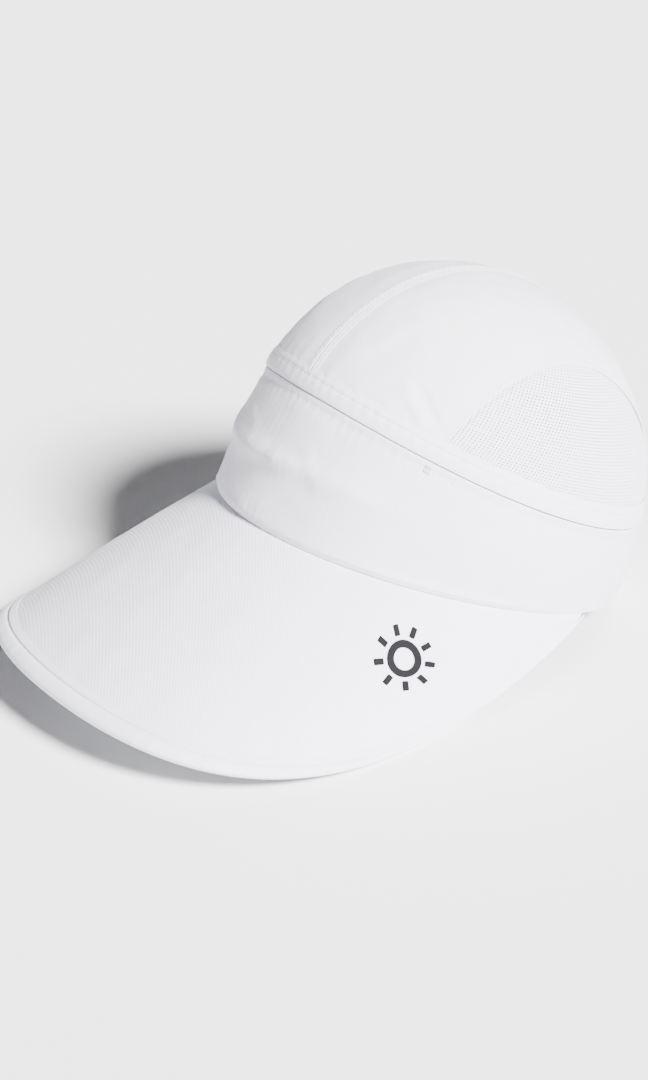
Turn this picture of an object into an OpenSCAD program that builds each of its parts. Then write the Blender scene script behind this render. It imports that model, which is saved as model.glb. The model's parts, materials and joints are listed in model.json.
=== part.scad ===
// Sun visor with a wide brim and a crown that zips off.
// Everything is described in the hat's own frame first: z runs up along the head's axis
// from the bottom edge of the band, -y is the wearer's front and +x the wearer's left.
// placed() then sets the hat down on a table, where it rests on the two corners of its
// brim and on the bottom edge of the band at the rear.

/* [Head band] */
// Outside width of the band at its bottom edge
head_width = 166; // [150:1:182]
// Outside length of the band at its bottom edge, front to rear
head_length = 195; // [178:1:212]
// How far the band swells outwards at half height
band_swell = 2.5; // [0:0.5:4]

/* [Zip line] */
// Width of the oval that the zip follows
zip_width = 162; // [148:1:176]
// Length of the oval that the zip follows
zip_length = 188; // [172:1:204]
// Distance of that oval's centre behind the centre of the band
zip_shift = 3; // [0:0.5:6]
// Height of the zip above the bottom edge at the front
zip_front_h = 60; // [50:0.5:72]
// Height of the zip at the sides
zip_side_h = 41.5; // [35:0.5:50]
// Height of the zip at the rear
zip_rear_h = 36.5; // [30:0.5:44]
// Open slit between the band and the hem of the crown
zip_slit = 1.2; // [1:0.1:2]
// Width of each zip tape
tape_w = 9; // [7:0.5:10]
// Height of one row of teeth
tooth_h = 2; // [1.5:0.1:2.5]
// Depth of one row of teeth
tooth_d = 1.5; // [1:0.1:2]

/* [Crown] */
// Height of the crown above the zip at the sides
crown_rise = 83.5; // [65:0.5:100]
// Distance of the top of the crown behind the zip oval's centre, negative is forwards
crown_shift = -9; // [-14:0.5:4]
// Height of the hem that hides the zip
hem_h = 8; // [6:0.5:11]
// How far the hem stands proud of the crown
hem_t = 0.8; // [0.5:0.1:1.2]
// Half the width of the tape over the centre seam
seam_tape_half = 5; // [3:0.5:8]

/* [Mesh inserts] */
// Angle of each insert's middle, counted from the front
mesh_middle = 97; // [90:1:102]
// Half the angle that an insert covers
mesh_half = 50; // [40:1:55]
// Height of an insert as a share of the crown's arc
mesh_top = 0.52; // [0.35:0.01:0.6]

/* [Brim] */
// Angle from the front to each tip of the brim
brim_angle = 113; // [104:1:118]
// How far the brim reaches ahead of the band
brim_reach = 78.5; // [60:0.5:92]
// How far the front of the brim drops below the band
brim_drop = 82; // [66:0.5:90]
// Half the straight stretch at the front of the brim
brim_flat = 65; // [50:1:80]
// How far the corner handle lies outside the band
corner_out = 38; // [30:0.5:46]
// How far the corner handle lies ahead of the band
corner_ahead = 52.5; // [40:0.5:64]
// How far the corner handle drops
corner_drop = 79; // [66:0.5:90]
// How far the side handle lies outside the band
side_out = 23.5; // [16:0.5:30]
// How far the side handle lies behind the front of the band
side_back = 36; // [26:0.5:48]
// How far the side handle drops
side_drop = 87; // [72:0.5:96]
// Arch of the brim from band to edge, as a share of its length there
brim_arch = 0.014; // [0:0.002:0.04]
// Thickness of the board inside the brim
core_t = 1.6; // [1:0.1:2.5]
// Width of the rolled edge
binding_w = 11; // [6:0.5:14]
// Thickness of the rolled edge's cloth
binding_t = 0.5; // [0.4:0.1:0.8]
// Height of the brim's edge that is turned up inside the band
allowance_h = 8; // [5:0.5:12]

/* [Layers] */
// Thickness of the woven cloth
cloth_t = 0.5; // [0.3:0.05:0.8]
// Thickness of the foam inside the band
foam_t = 1.2; // [0.8:0.1:2]
// Thickness of the sweatband
sweat_t = 1.4; // [1:0.1:2.5]
// Height of the sweatband
sweat_h = 30; // [20:1:32]
// Clear space between two layers
layer_gap = 0.2; // [0.15:0.05:0.25]

/* [Rear adjuster] */
// Width of the notch in the band
notch_width = 57; // [46:1:66]
// Height of the band above the notch
rear_bridge = 15; // [14.5:0.5:20]
// Clear height between the strap and the top of the notch
notch_clear = 8.5; // [6:0.5:10]
// Thickness of the strap
strap_t = 0.8; // [0.6:0.1:1.2]
// Height of the strap's bottom edge above the table
strap_foot = 0.9; // [0.5:0.1:2.5]
// Length of strap that is sewn in behind the band, as an angle
strap_tuck = 12; // [8:1:16]
// Thickness of the hook and the loop tape
patch_t = 0.65; // [0.5:0.05:0.9]

/* [Slider] */
// Length of the slider
slider_l = 9; // [7:0.5:11]
// Thickness of the slider's plates
slider_plate = 1; // [0.8:0.1:1.3]
// Radius of the bar that the puller hangs on
bail_r = 0.5; // [0.4:0.05:0.7]
// Length of the puller
pull_l = 18; // [12:0.5:19]
// Width of the puller
pull_w = 5; // [4:0.5:7]

/* [Emblem] */
// Radius of the sun's outer tips
sun_r = 14; // [8:0.5:16]
// Place along the brim, as a share from its front to its tip
sun_along = 0.575; // [0.3:0.005:0.7]
// Place across the brim, as a share from the band to the edge
sun_across = 0.36; // [0.3:0.01:0.6]
// Number of rays
sun_rays = 9; // [6:1:12]

/* [Label] */
// Width of the blank size label
label_w = 14; // [8:1:20]
// Height of the blank size label
label_h = 16; // [8:1:18]

/* [Hidden] */

// Half axes of the two ovals, and the height of the crown's top
band_rx = head_width / 2;
band_ry = head_length / 2;
zip_rx = zip_width / 2;
zip_ry = zip_length / 2;
top_z = zip_side_h + crown_rise;
// Fullness of the crown in plan and in profile; 2 is an ellipse
plan_front = 2.05;
plan_side = 1.81;
plan_rear = 1.92;
profile_front = 1.43;
profile_side = 1.9;
profile_rear = 2.18;
// Clearance between pieces that move past each other
run_gap = 0.3;
// Thickness of the seam tapes and the label
thin_t = 0.4;
// Depths of the layers behind the band's outer face
foam_in = cloth_t + layer_gap;
lining_in = foam_in + foam_t + layer_gap;
tuck_in = lining_in + cloth_t + 3 * layer_gap;
sweat_in = tuck_in + strap_t + 2 * layer_gap;
tape_in = cloth_t + 3 * layer_gap;
tape_t = cloth_t;
teeth_in = tape_in + tape_t + 0.2;
// Levels below or above the zip line
slit_half = zip_slit / 2;
tape_edge = 2 * slit_half;
facing_top = tooth_h + 2.2;
facing_low = tape_w + 2.5;
foam_top = tape_w + 1.5;
// Half the opening between the rows of teeth, closed and along the slider's run
teeth_closed = 0.15;
teeth_open = 0.7;
// Rear notch
notch_half = asin(notch_width / 2 / band_rx);
notch_h = zip_rear_h - rear_bridge;
strap_top = notch_h - notch_clear;
tail_top = strap_top - 0.5;
// The arc of the zip's rear stretch and the pieces along it, as angles from the rear centre
arc_r = zip_rx * zip_rx / zip_ry;
rear_y = zip_ry + zip_shift;
slider_at = -8;
stop_at = -2.2;
box_at = 5;
pin_r = 0.6;
pin_clear = 0.15;
// Ends of the tapes and of the teeth, left free for the stops and the box
tape_end = 1.5;
teeth_start = 7.5;
teeth_end = 3.2;
// Strap angles, counted from the rear centre towards the wearer's left
tail_root = -10.5;
tail_tip = 15;
patch_from = -7;
patch_to = 13;
// Brim layers below its upper face
core_in = cloth_t + layer_gap;
under_in = core_in + core_t + layer_gap;
brim_t = under_in + cloth_t;
edge_in = binding_t + 2 * layer_gap;
brim_end = 0.972;
binding_end = 0.985;
seam_gap = 0.2;
// Cloth colours
white_cloth = [0.92, 0.93, 0.95];
white_zip = [0.88, 0.89, 0.91];
mark_grey = [0.35, 0.35, 0.37];

// ---- number helpers ----
function lerp(a, b, s) = a + (b - a) * s;
function unit(p) = p / norm(p);
function smooth(s) = let (k = min(1, max(0, s))) k * k * (3 - 2 * k);
function steps(a, b, n) = [for (k = [0:n]) lerp(a, b, k / n)];
function blend3(phi, front, side, rear) =
    let (c = cos(phi)) side + (front - rear) / 2 * c + ((front + rear) / 2 - side) * c * c;

// ---- surfaces ----
// Height of the zip line at an angle counted from the front towards the wearer's left
function zip_h(phi) = blend3(phi, zip_front_h, zip_side_h, zip_rear_h);

// Point of the band at a height, with a depth behind its outer face
function band_pt(phi, z, depth) =
    let (s = z / zip_h(phi), swell = band_swell * sin(180 * max(0, s)) - depth)
    [(lerp(band_rx, zip_rx, s) + swell) * sin(phi),
     -(lerp(band_ry, zip_ry, s) + swell) * cos(phi) + zip_shift * s,
     z];

// Point of the crown; s runs from the zip line, 0, to the top, 1
function crown_pt(phi, s, depth) =
    let (plan = blend3(phi, plan_front, plan_side, plan_rear))
    let (profile = blend3(phi, profile_front, profile_side, profile_rear))
    let (out = pow(cos(90 * s), 2 / plan), up = pow(sin(90 * s), 2 / profile))
    [(zip_rx - depth) * sin(phi) * out,
     -(zip_ry - depth) * cos(phi) * out + zip_shift + crown_shift * up,
     lerp(zip_h(phi), top_z - depth, up)];

// Share of the crown's arc that lies a height above the zip line
function crown_share(phi, h) =
    let (profile = blend3(phi, profile_front, profile_side, profile_rear))
    asin(pow(h / (top_z - zip_h(phi)), profile / 2)) / 90;

// Outline of a mesh insert over the crown's arc
function mesh_share(phi) =
    let (d = min(1, abs(phi - mesh_middle) / mesh_half)) mesh_top * pow(1 - pow(d, 2.5), 0.6);

// Bottom edge of the band, which rises over the rear notch
function notch_edge(phi) =
    let (d = min(1, abs(180 - abs(phi)) / notch_half)) notch_h * pow(1 - pow(d, 4), 0.25);

// Outer edge of the brim from its front, 0, to its tip, 1 or -1
function brim_edge(t) =
    let (a = abs(t), b = 1 - a, tip = band_pt(brim_angle, 0, 0))
    let (p = pow(b, 4) * [0, -band_ry - brim_reach, -brim_drop]
           + 4 * a * pow(b, 3) * [brim_flat, -band_ry - brim_reach, -brim_drop]
           + 6 * a * a * b * b * [band_rx + corner_out, -band_ry - corner_ahead, -corner_drop]
           + 4 * pow(a, 3) * b * [band_rx + side_out, side_back - band_ry, -side_drop]
           + pow(a, 4) * tip)
    [sign(t) * p.x, p.y, p.z];

// Point of the brim's upper face; u runs from the band, 0, to the outer edge, 1
function brim_face(t, u) =
    let (root = band_pt(t * brim_angle, 0, 0) - [0, 0, seam_gap], rim = brim_edge(t))
    lerp(root, rim, u) + [0, 0, brim_arch * norm(rim - root) * 4 * u * (1 - u)];

// Direction from the brim's upper face into the brim
function brim_inward(t, u) =
    let (e = 0.004, v = min(0.98, max(0.02, u)))
    unit(cross(brim_face(t + e, v) - brim_face(t - e, v), brim_face(t, v + e) - brim_face(t, v - e)));

// Point of the brim at a depth below its upper face
function brim_pt(t, u, depth) = brim_face(t, u) + depth * brim_inward(t, u);

// The same, with a distance inwards from the outer edge in place of u
function rim_pt(t, inward, depth) =
    let (wide = norm(brim_face(t, 1) - brim_face(t, 0)))
    brim_pt(t, 1 - min(0.9, inward / wide), depth);

// ---- solids ----
// Closed shell between two grids of points. The first index runs anticlockwise seen from
// above, the second upwards. A closed shell joins its last column to its first one, and
// with apex set the last point of every column is one and the same.
module shell(outer, inner, closed = false, apex = false) {
    n = len(outer);
    m = len(outer[0]);
    last = closed ? n - 1 : n - 2;
    function id(s, i, j) = s * n * m + (apex && j == m - 1 ? 0 : i % n) * m + j;
    skins = [for (i = [0:last], j = [0:m - 2]) each [
        [id(0, i, j), id(0, i, j + 1), id(0, i + 1, j + 1)],
        [id(0, i, j), id(0, i + 1, j + 1), id(0, i + 1, j)],
        [id(1, i, j), id(1, i + 1, j + 1), id(1, i, j + 1)],
        [id(1, i, j), id(1, i + 1, j), id(1, i + 1, j + 1)]]];
    rims = [for (i = [0:last]) each [
        [id(0, i, 0), id(0, i + 1, 0), id(1, i + 1, 0)],
        [id(0, i, 0), id(1, i + 1, 0), id(1, i, 0)],
        [id(0, i + 1, m - 1), id(0, i, m - 1), id(1, i, m - 1)],
        [id(0, i + 1, m - 1), id(1, i, m - 1), id(1, i + 1, m - 1)]]];
    ends = closed ? [] : [for (j = [0:m - 2]) each [
        [id(0, 0, j + 1), id(0, 0, j), id(1, 0, j)],
        [id(0, 0, j + 1), id(1, 0, j), id(1, 0, j + 1)],
        [id(0, n - 1, j), id(0, n - 1, j + 1), id(1, n - 1, j + 1)],
        [id(0, n - 1, j), id(1, n - 1, j + 1), id(1, n - 1, j)]]];
    faces = [for (f = concat(skins, rims, ends)) if (f[0] != f[1] && f[1] != f[2] && f[0] != f[2]) f];
    polyhedron([for (row = concat(outer, inner)) each row], faces);
}

// Tube whose section is a list of points, one section for each station, open at both ends
module loft(sections) {
    n = len(sections);
    m = len(sections[0]);
    walls = [for (i = [0:n - 2], j = [0:m - 1]) let (k = (j + 1) % m) each [
        [i * m + j, i * m + k, (i + 1) * m + k],
        [i * m + j, (i + 1) * m + k, (i + 1) * m + j]]];
    half = m / 2;
    caps = [for (j = [0:half - 2]) each [
        [j, m - 1 - j, m - 2 - j],
        [j, m - 2 - j, j + 1],
        [(n - 1) * m + j, (n - 1) * m + m - 2 - j, (n - 1) * m + m - 1 - j],
        [(n - 1) * m + j, (n - 1) * m + j + 1, (n - 1) * m + m - 2 - j]]];
    polyhedron([for (s = sections) each s], concat(walls, caps));
}

// Angles all round the band, closest together at the ends of the notch
ring_angles = concat(steps(notch_half - 180, 180 - notch_half, 64),
                     [for (k = [1:13]) 180 - notch_half * cos(k * 180 / 14)]);

// One layer of the band between two heights given as functions' values
module band_layer(angles, low, high, depth, t, rows, closed = false) {
    function grid(d) = [for (i = [0:len(angles) - 1])
        [for (k = [0:rows]) band_pt(angles[i], lerp(low[i], high[i], k / rows), d)]];
    shell(grid(depth), grid(depth + t), closed);
}

// One layer of the crown between two heights above the zip line
module crown_layer(angles, low, high, depth, t, rows, closed = false) {
    function at(i, h, d) = crown_pt(angles[i], crown_share(angles[i], h), d);
    function grid(d) = [for (i = [0:len(angles) - 1])
        [for (k = [0:rows]) at(i, lerp(low[i], high[i], k / rows), d)]];
    shell(grid(depth), grid(depth + t), closed);
}

// Stations along the brim, which all its layers share
brim_stations = steps(-brim_end, brim_end, 48);

// One layer of the brim
module brim_layer(depth, t) {
    function u_end(s) = 1 - edge_in / norm(brim_face(s, 1) - brim_face(s, 0));
    function grid(d) = [for (s = brim_stations) [for (k = [5:-1:0]) brim_pt(s, u_end(s) * k / 5, d)]];
    shell(grid(depth), grid(depth + t));
}

// ---- the hat on the table ----
// Section of the rolled edge: distance inwards from the outer edge, depth below the face
binding_out = layer_gap + binding_t;
binding_section = [[binding_w, -binding_out], [0.8, -binding_out],
                   [0, 0], [0, brim_t],
                   [0.8, brim_t + binding_out], [binding_w, brim_t + binding_out],
                   [binding_w, brim_t + layer_gap], [0.7, brim_t + layer_gap],
                   [binding_t, brim_t], [binding_t, 0],
                   [0.7, -layer_gap], [binding_w, -layer_gap]];
binding_rings = [for (s = concat([-binding_end], brim_stations, [binding_end]))
                 [for (p = binding_section) rim_pt(s, p.x, p.y)]];
rear_foot = band_ry * cos(notch_half);
// The steepest line from the rear foot to the brim's edge is the table top
tilt = max([for (ring = binding_rings, p = ring) atan2(-p.z, rear_foot - p.y)]);
lift = rear_foot * sin(tilt);
front_reach = min([for (ring = binding_rings, p = ring) p.y * cos(tilt) + p.z * sin(tilt)]);
rear_line = [for (s = steps(0, 1, 60)) crown_pt(180, s, 0)];
rear_reach = max([for (p = rear_line) p.y * cos(tilt) + p.z * sin(tilt)]);

module placed() {
    translate([0, -(front_reach + rear_reach) / 2, lift])
        rotate([-tilt, 0, 0])
            children();
}

// Local frame on the zip's rear arc: x along the zip, y outwards, z up from the zip line
module on_rear_arc(angle) {
    translate([0, rear_y - arc_r, zip_rear_h])
        rotate([0, 0, -angle])
            translate([0, arc_r, 0])
                children();
}

// Box between two corners
module block(low, high) {
    translate(low)
        cube(high - low);
}

// ---- crown ----
crown_rows = 11;
mesh_rows = 7;
// Gap between a mesh insert and its panel, as a share of the crown's arc
mesh_gap = 0.003;
// Half the width of the tape over the insert's seam, as a share of the crown's arc
mesh_tape_half = 0.028;
mesh_angles = [for (k = [0:20]) mesh_middle - mesh_half * cos(9 * k)];
panel_angles = concat(steps(0, mesh_middle - mesh_half, 8),
                      [for (k = [1:19]) mesh_angles[k]],
                      steps(mesh_middle + mesh_half, 180, 6));

// Left half of the crown above the mesh insert; side is -1 for the right half
module crown_panel(side) {
    angles = side > 0 ? panel_angles : [for (k = [len(panel_angles) - 1:-1:0]) -panel_angles[k]];
    function low(phi) = max(mesh_share(abs(phi)), crown_share(phi, tape_edge));
    function grid(d) = [for (phi = angles)
        [for (k = [0:crown_rows]) crown_pt(phi, lerp(low(phi), 1, k / crown_rows), d)]];
    color(white_cloth)
        placed()
            shell(grid(0), grid(cloth_t), apex = true);
}

module mesh_insert(side) {
    own = [for (k = [1:19]) mesh_angles[k]];
    angles = side > 0 ? own : [for (k = [len(own) - 1:-1:0]) -own[k]];
    function low(phi) = crown_share(phi, tape_edge);
    function high(phi) = mesh_share(abs(phi)) - mesh_gap;
    function grid(d) = [for (phi = angles)
        [for (k = [0:mesh_rows]) crown_pt(phi, lerp(low(phi), high(phi), k / mesh_rows), d)]];
    color(white_cloth)
        placed()
            shell(grid(0), grid(cloth_t));
}

// Tape inside the crown over the insert's seam
module mesh_tape(side) {
    own = [for (k = [3:17]) mesh_angles[k]];
    angles = side > 0 ? own : [for (k = [len(own) - 1:-1:0]) -own[k]];
    depth = cloth_t + 3 * layer_gap;
    function grid(d) = [for (phi = angles)
        [for (k = [-1, 0, 1]) crown_pt(phi, mesh_share(abs(phi)) + k * mesh_tape_half, d)]];
    color(white_cloth)
        placed()
            shell(grid(depth), grid(depth + thin_t));
}

module crown_left_panel() {
    crown_panel(1);
}

module crown_right_panel() {
    crown_panel(-1);
}

module mesh_left() {
    mesh_insert(1);
}

module mesh_right() {
    mesh_insert(-1);
}

module mesh_tape_left() {
    mesh_tape(1);
}

module mesh_tape_right() {
    mesh_tape(-1);
}

module crown_center_tape() {
    depth = cloth_t + 2 * layer_gap;
    bend = 40;
    front = [for (k = [2:crown_rows]) [0, lerp(crown_share(0, tape_edge), 1, k / crown_rows)]];
    rear = [for (k = [crown_rows - 1:-1:1]) [180, lerp(crown_share(180, tape_edge), 1, k / crown_rows)]];
    line = concat(front, rear);
    function grid(d) = [for (p = line) [for (x = [1, 0, -1] * seam_tape_half)
        crown_pt(p[0], p[1], d + x * x / (2 * bend)) + [x, 0, 0]]];
    color(white_cloth)
        placed()
            shell(grid(depth), grid(depth + thin_t));
}

// Folded hem that stands proud of the crown and hides the zip
crown_angles = steps(-180, 174, 59);

module crown_hem() {
    n = len(crown_angles);
    low = [for (k = [1:n]) slit_half];
    high = [for (k = [1:n]) hem_h];
    color(white_cloth)
        placed()
            crown_layer(crown_angles, low, high, -hem_t - layer_gap, hem_t, 2, closed = true);
}

// ---- zip ----
function opened(phi) = lerp(teeth_open, teeth_closed, smooth((180 - abs(phi) - 36) / 14));
tape_angles = steps(-180 + tape_end, 180 - tape_end, 60);
teeth_angles = steps(-180 + teeth_end, 180 - teeth_start, 60);

module upper_zip_tape() {
    low = [for (a = tape_angles) tape_edge];
    high = [for (a = tape_angles) tape_edge + tape_w];
    color(white_zip)
        placed()
            crown_layer(tape_angles, low, high, tape_in, tape_t, 2);
}

module upper_zip_teeth() {
    low = [for (a = teeth_angles) opened(a)];
    high = [for (a = teeth_angles) opened(a) + tooth_h];
    color(white_zip)
        placed()
            crown_layer(teeth_angles, low, high, teeth_in, tooth_d, 1);
}

module lower_zip_tape() {
    low = [for (a = tape_angles) zip_h(a) - tape_edge - tape_w];
    high = [for (a = tape_angles) zip_h(a) - tape_edge];
    color(white_zip)
        placed()
            band_layer(tape_angles, low, high, tape_in, tape_t, 2);
}

module lower_zip_teeth() {
    low = [for (a = teeth_angles) zip_h(a) - opened(a) - tooth_h];
    high = [for (a = teeth_angles) zip_h(a) - opened(a)];
    color(white_zip)
        placed()
            band_layer(teeth_angles, low, high, teeth_in, tooth_d, 1);
}

// The box reaches this far below the zip line, and what is behind the tape moves inwards with
// the tape where the band leans in
box_foot = 3.9;
lean_in = max(0, zip_ry + zip_shift - band_pt(180, zip_rear_h - box_foot, 0).y);

// Pin of the upper half, which stands in the box and lifts out of it
pin_y = -teeth_in - tooth_d / 2 - 0.2 - lean_in;

module zip_pin() {
    color(white_zip)
        placed()
            on_rear_arc(box_at)
                translate([0, pin_y, -2.6])
                    cylinder(r = pin_r, h = 5.6, $fn = 24);
}

module zip_box() {
    half = pin_r + pin_clear + 0.8;
    color(white_zip)
        placed()
            on_rear_arc(box_at)
                difference() {
                    block([-2.2, pin_y - half, -box_foot],
                          [2.2, -tape_in - tape_t - run_gap - lean_in, -0.7]);
                    translate([0, pin_y, -2.9])
                        cylinder(r = pin_r + pin_clear, h = 4, $fn = 24);
                }
}

// Crimped stop at the end of a row of teeth
module stop_clip(low_z) {
    front = -teeth_in - 0.2 - lean_in;
    color(white_zip)
        placed()
            on_rear_arc(stop_at)
                block([-0.7, front - tooth_d, low_z], [0.7, front, low_z + tooth_h]);
}

module upper_zip_stop() {
    stop_clip(teeth_open + 0.05);
}

module lower_zip_stop() {
    stop_clip(-teeth_open - tooth_h);
}

// ---- slider ----
plate_y = hem_t + layer_gap + 0.5;
inner_y = -teeth_in - tooth_d - 2 * run_gap - 0.1 - lean_in;
bail_y = plate_y + slider_plate + run_gap + 1.3;
bail_z = -1;
ear_in = 1.6;
ear_t = 0.8;
ear_half = 0.9;

module slider_body() {
    half = slider_l / 2;
    color(white_zip)
        placed()
            on_rear_arc(slider_at)
                union() {
                    block([-half, plate_y, -3.4], [half, plate_y + slider_plate, 2.6]);
                    block([-half, inner_y - slider_plate, -box_foot], [half, inner_y, 2.6]);
                    block([-half, inner_y, -box_foot], [half, -tape_in - tape_t - run_gap - lean_in, -3.1]);
                    block([-1, inner_y - 0.2, run_gap - slit_half],
                          [1, plate_y + 0.2, slit_half - run_gap]);
                    for (x = [-ear_in - ear_t, ear_in]) {
                        block([x, plate_y + slider_plate - 0.2, bail_z - ear_half],
                              [x + ear_t, bail_y + ear_half, bail_z + ear_half]);
                    }
                    translate([-ear_in - 0.2, bail_y, bail_z])
                        rotate([0, 90, 0])
                            cylinder(r = bail_r, h = 2 * ear_in + 0.4, $fn = 32);
                }
}

module pull_tab() {
    knuckle = 1.2;
    eye = bail_r + 0.08;
    neck_z = -3.6;
    neck_half = ear_in - 1.2;
    end_half = pull_w / 2 - 1;
    end_z = 1 - pull_l;
    color(white_zip)
        placed()
            on_rear_arc(slider_at)
                translate([0, bail_y, bail_z])
                    difference() {
                        union() {
                            rotate([0, 90, 0])
                                translate([0, 0, run_gap - ear_in])
                                    cylinder(r = knuckle, h = 2 * (ear_in - run_gap), $fn = 32);
                            block([run_gap - ear_in, -0.6, -3.4], [ear_in - run_gap, 0.6, -0.7]);
                            rotate([90, 0, 0])
                                translate([0, 0, -0.6])
                                    linear_extrude(1.2)
                                        offset(r = 1)
                                            polygon([[-neck_half, neck_z], [neck_half, neck_z],
                                                     [end_half, end_z], [-end_half, end_z]]);
                        }
                        rotate([0, 90, 0])
                            translate([0, 0, -ear_in])
                                cylinder(r = eye, h = 2 * ear_in, $fn = 32);
                    }
}

// ---- band ----
module band_outer_fabric() {
    low = [for (a = ring_angles) notch_edge(a)];
    high = [for (a = ring_angles) zip_h(a) - slit_half];
    color(white_cloth)
        placed()
            band_layer(ring_angles, low, high, 0, cloth_t, 5, closed = true);
}

module band_interlining() {
    low = [for (a = ring_angles) notch_edge(a) + 0.8];
    high = [for (a = ring_angles) zip_h(a) - foam_top];
    color([0.85, 0.86, 0.88])
        placed()
            band_layer(ring_angles, low, high, foam_in, foam_t, 4, closed = true);
}

module band_lining() {
    low = [for (a = ring_angles) notch_edge(a) + 0.3];
    high = [for (a = ring_angles) zip_h(a) - facing_low - 0.5];
    color(white_cloth)
        placed()
            band_layer(ring_angles, low, high, lining_in, cloth_t, 3, closed = true);
}

module band_top_facing() {
    low = [for (a = ring_angles) zip_h(a) - foam_top + 0.5];
    high = [for (a = ring_angles) zip_h(a) - facing_top];
    color(white_cloth)
        placed()
            band_layer(ring_angles, low, high, teeth_in, cloth_t, 1, closed = true);
}

module sweatband() {
    reach = 180 - notch_half - 1.5;
    angles = steps(-reach, reach, 60);
    low = [for (a = angles) -0.4];
    high = [for (a = angles) sweat_h];
    color([0.9, 0.9, 0.92])
        placed()
            band_layer(angles, low, high, sweat_in, sweat_t, 3);
}

module size_label() {
    middle = 150;
    half = label_w / 2 / band_ry * 57.3;
    angles = steps(middle - half, middle + half, 3);
    low = [for (a = angles) sweat_h - label_h - 2];
    high = [for (a = angles) sweat_h - 2];
    color([0.95, 0.95, 0.96])
        placed()
            band_layer(angles, low, high, sweat_in + sweat_t + 2 * layer_gap, thin_t, 2);
}

// ---- brim ----
module brim_seam_allowance() {
    angles = steps(-brim_angle * brim_end, brim_angle * brim_end, 40);
    low = [for (a = angles) -0.6];
    high = [for (a = angles) allowance_h];
    color(white_cloth)
        placed()
            band_layer(angles, low, high, tuck_in, strap_t, 1);
}

module brim_top_fabric() {
    color(white_cloth)
        placed()
            brim_layer(0, cloth_t);
}

module brim_core() {
    color([0.8, 0.81, 0.83])
        placed()
            brim_layer(core_in, core_t);
}

module brim_under_fabric() {
    color(white_cloth)
        placed()
            brim_layer(under_in, cloth_t);
}

module brim_edge_binding() {
    color(white_cloth)
        placed()
            loft(binding_rings);
}

// ---- emblem ----
// Point of the brim a distance along it and towards the edge from the emblem's centre
function sun_pt(x, y, depth) =
    let (e = 0.01)
    let (along = (brim_face(sun_along + e, sun_across) - brim_face(sun_along - e, sun_across)) / (2 * e))
    let (across = (brim_face(sun_along, sun_across + e) - brim_face(sun_along, sun_across - e)) / (2 * e))
    let (slant = along * unit(across), square = norm(along - slant * unit(across)))
    brim_pt(sun_along + x / square, sun_across + (y - x * slant / square) / norm(across), depth);

module emblem() {
    ring_in = 0.34 * sun_r;
    ring_out = 0.56 * sun_r;
    ray_in = 0.68 * sun_r;
    lift_in = -0.1;
    film = 0.25;
    turns = [for (k = [0:35]) k * 10];
    function ring(d) = [for (a = turns) [for (r = [ring_out, ring_in]) sun_pt(r * cos(a), r * sin(a), d)]];
    function ray(a, d) = [for (w = [-1, 1]) [for (r = [sun_r, ray_in])
        sun_pt(r * cos(a) - w * 0.09 * sun_r * sin(a), r * sin(a) + w * 0.09 * sun_r * cos(a), d)]];
    color(mark_grey)
        placed() {
            shell(ring(lift_in - film), ring(lift_in), closed = true);
            for (k = [1:sun_rays]) {
                shell(ray(k * 360 / sun_rays + 90, lift_in - film), ray(k * 360 / sun_rays + 90, lift_in));
            }
        }
}

// ---- rear adjuster ----
// Strip of the strap between two angles from the rear centre, with a depth for each angle
module strap_strip(from, to, depths, t, foot, top) {
    n = len(depths) - 1;
    angles = steps(180 - from, 180 - to, n);
    function grid(add) = [for (i = [0:n]) [for (z = [foot, top]) band_pt(angles[i], z, depths[i] + add)]];
    shell(grid(0), grid(t));
}

// The strap's bottom edge above the band's, so that it clears the table behind the rear foot
strap_low = strap_foot + (band_ry - tuck_in - rear_foot) * tan(tilt);
tail_foot = strap_low + 1;

// The same depth at every angle
function level(depth, n) = [for (k = [0:n]) depth];

loop_in = tuck_in - layer_gap - patch_t;
hook_in = loop_in - run_gap - patch_t;
tail_in = hook_in - layer_gap - strap_t;

module strap_left() {
    color(white_cloth)
        placed()
            strap_strip(notch_half + strap_tuck, patch_from - 2, level(tuck_in, 12), strap_t,
                        strap_low, strap_top);
}

module loop_patch() {
    color(white_zip)
        placed()
            strap_strip(patch_to + 2, patch_from, level(loop_in, 8), patch_t, strap_low + 1, strap_top - 1);
}

module strap_right() {
    from = tail_root - 0.4;
    to = -notch_half - strap_tuck;
    n = 14;
    run = notch_half + from - 0.8;
    depths = [for (a = steps(from, to, n)) lerp(tail_in, tuck_in, smooth((from - a) / run))];
    color(white_cloth)
        placed()
            strap_strip(from, to, depths, strap_t, strap_low, strap_top);
}

module strap_tail() {
    color(white_cloth)
        placed()
            strap_strip(tail_tip, tail_root, level(tail_in, 9), strap_t, tail_foot, tail_top);
}

module hook_patch() {
    color(white_zip)
        placed()
            strap_strip(patch_to, patch_from + 2, level(hook_in, 8), patch_t,
                        tail_foot + 0.8, tail_top - 0.8);
}

crown_left_panel();
crown_right_panel();
mesh_left();
mesh_right();
crown_center_tape();
mesh_tape_left();
mesh_tape_right();
crown_hem();
upper_zip_tape();
upper_zip_teeth();
zip_pin();
upper_zip_stop();
band_outer_fabric();
band_interlining();
band_lining();
band_top_facing();
sweatband();
brim_seam_allowance();
lower_zip_tape();
lower_zip_teeth();
zip_box();
lower_zip_stop();
brim_top_fabric();
brim_core();
brim_under_fabric();
brim_edge_binding();
emblem();
size_label();
strap_left();
strap_right();
loop_patch();
slider_body();
pull_tab();
strap_tail();
hook_patch();
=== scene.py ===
"""Looks of a sun visor with a zip-off crown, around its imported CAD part.

Lengths are millimetres in the hat's own frame, whose origin is the middle of the head
opening and whose z axis is the head's axis; row() turns them into the row frame in metres.
Angles are degrees from the front towards the wearer's left.
"""
import json
import math

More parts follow.
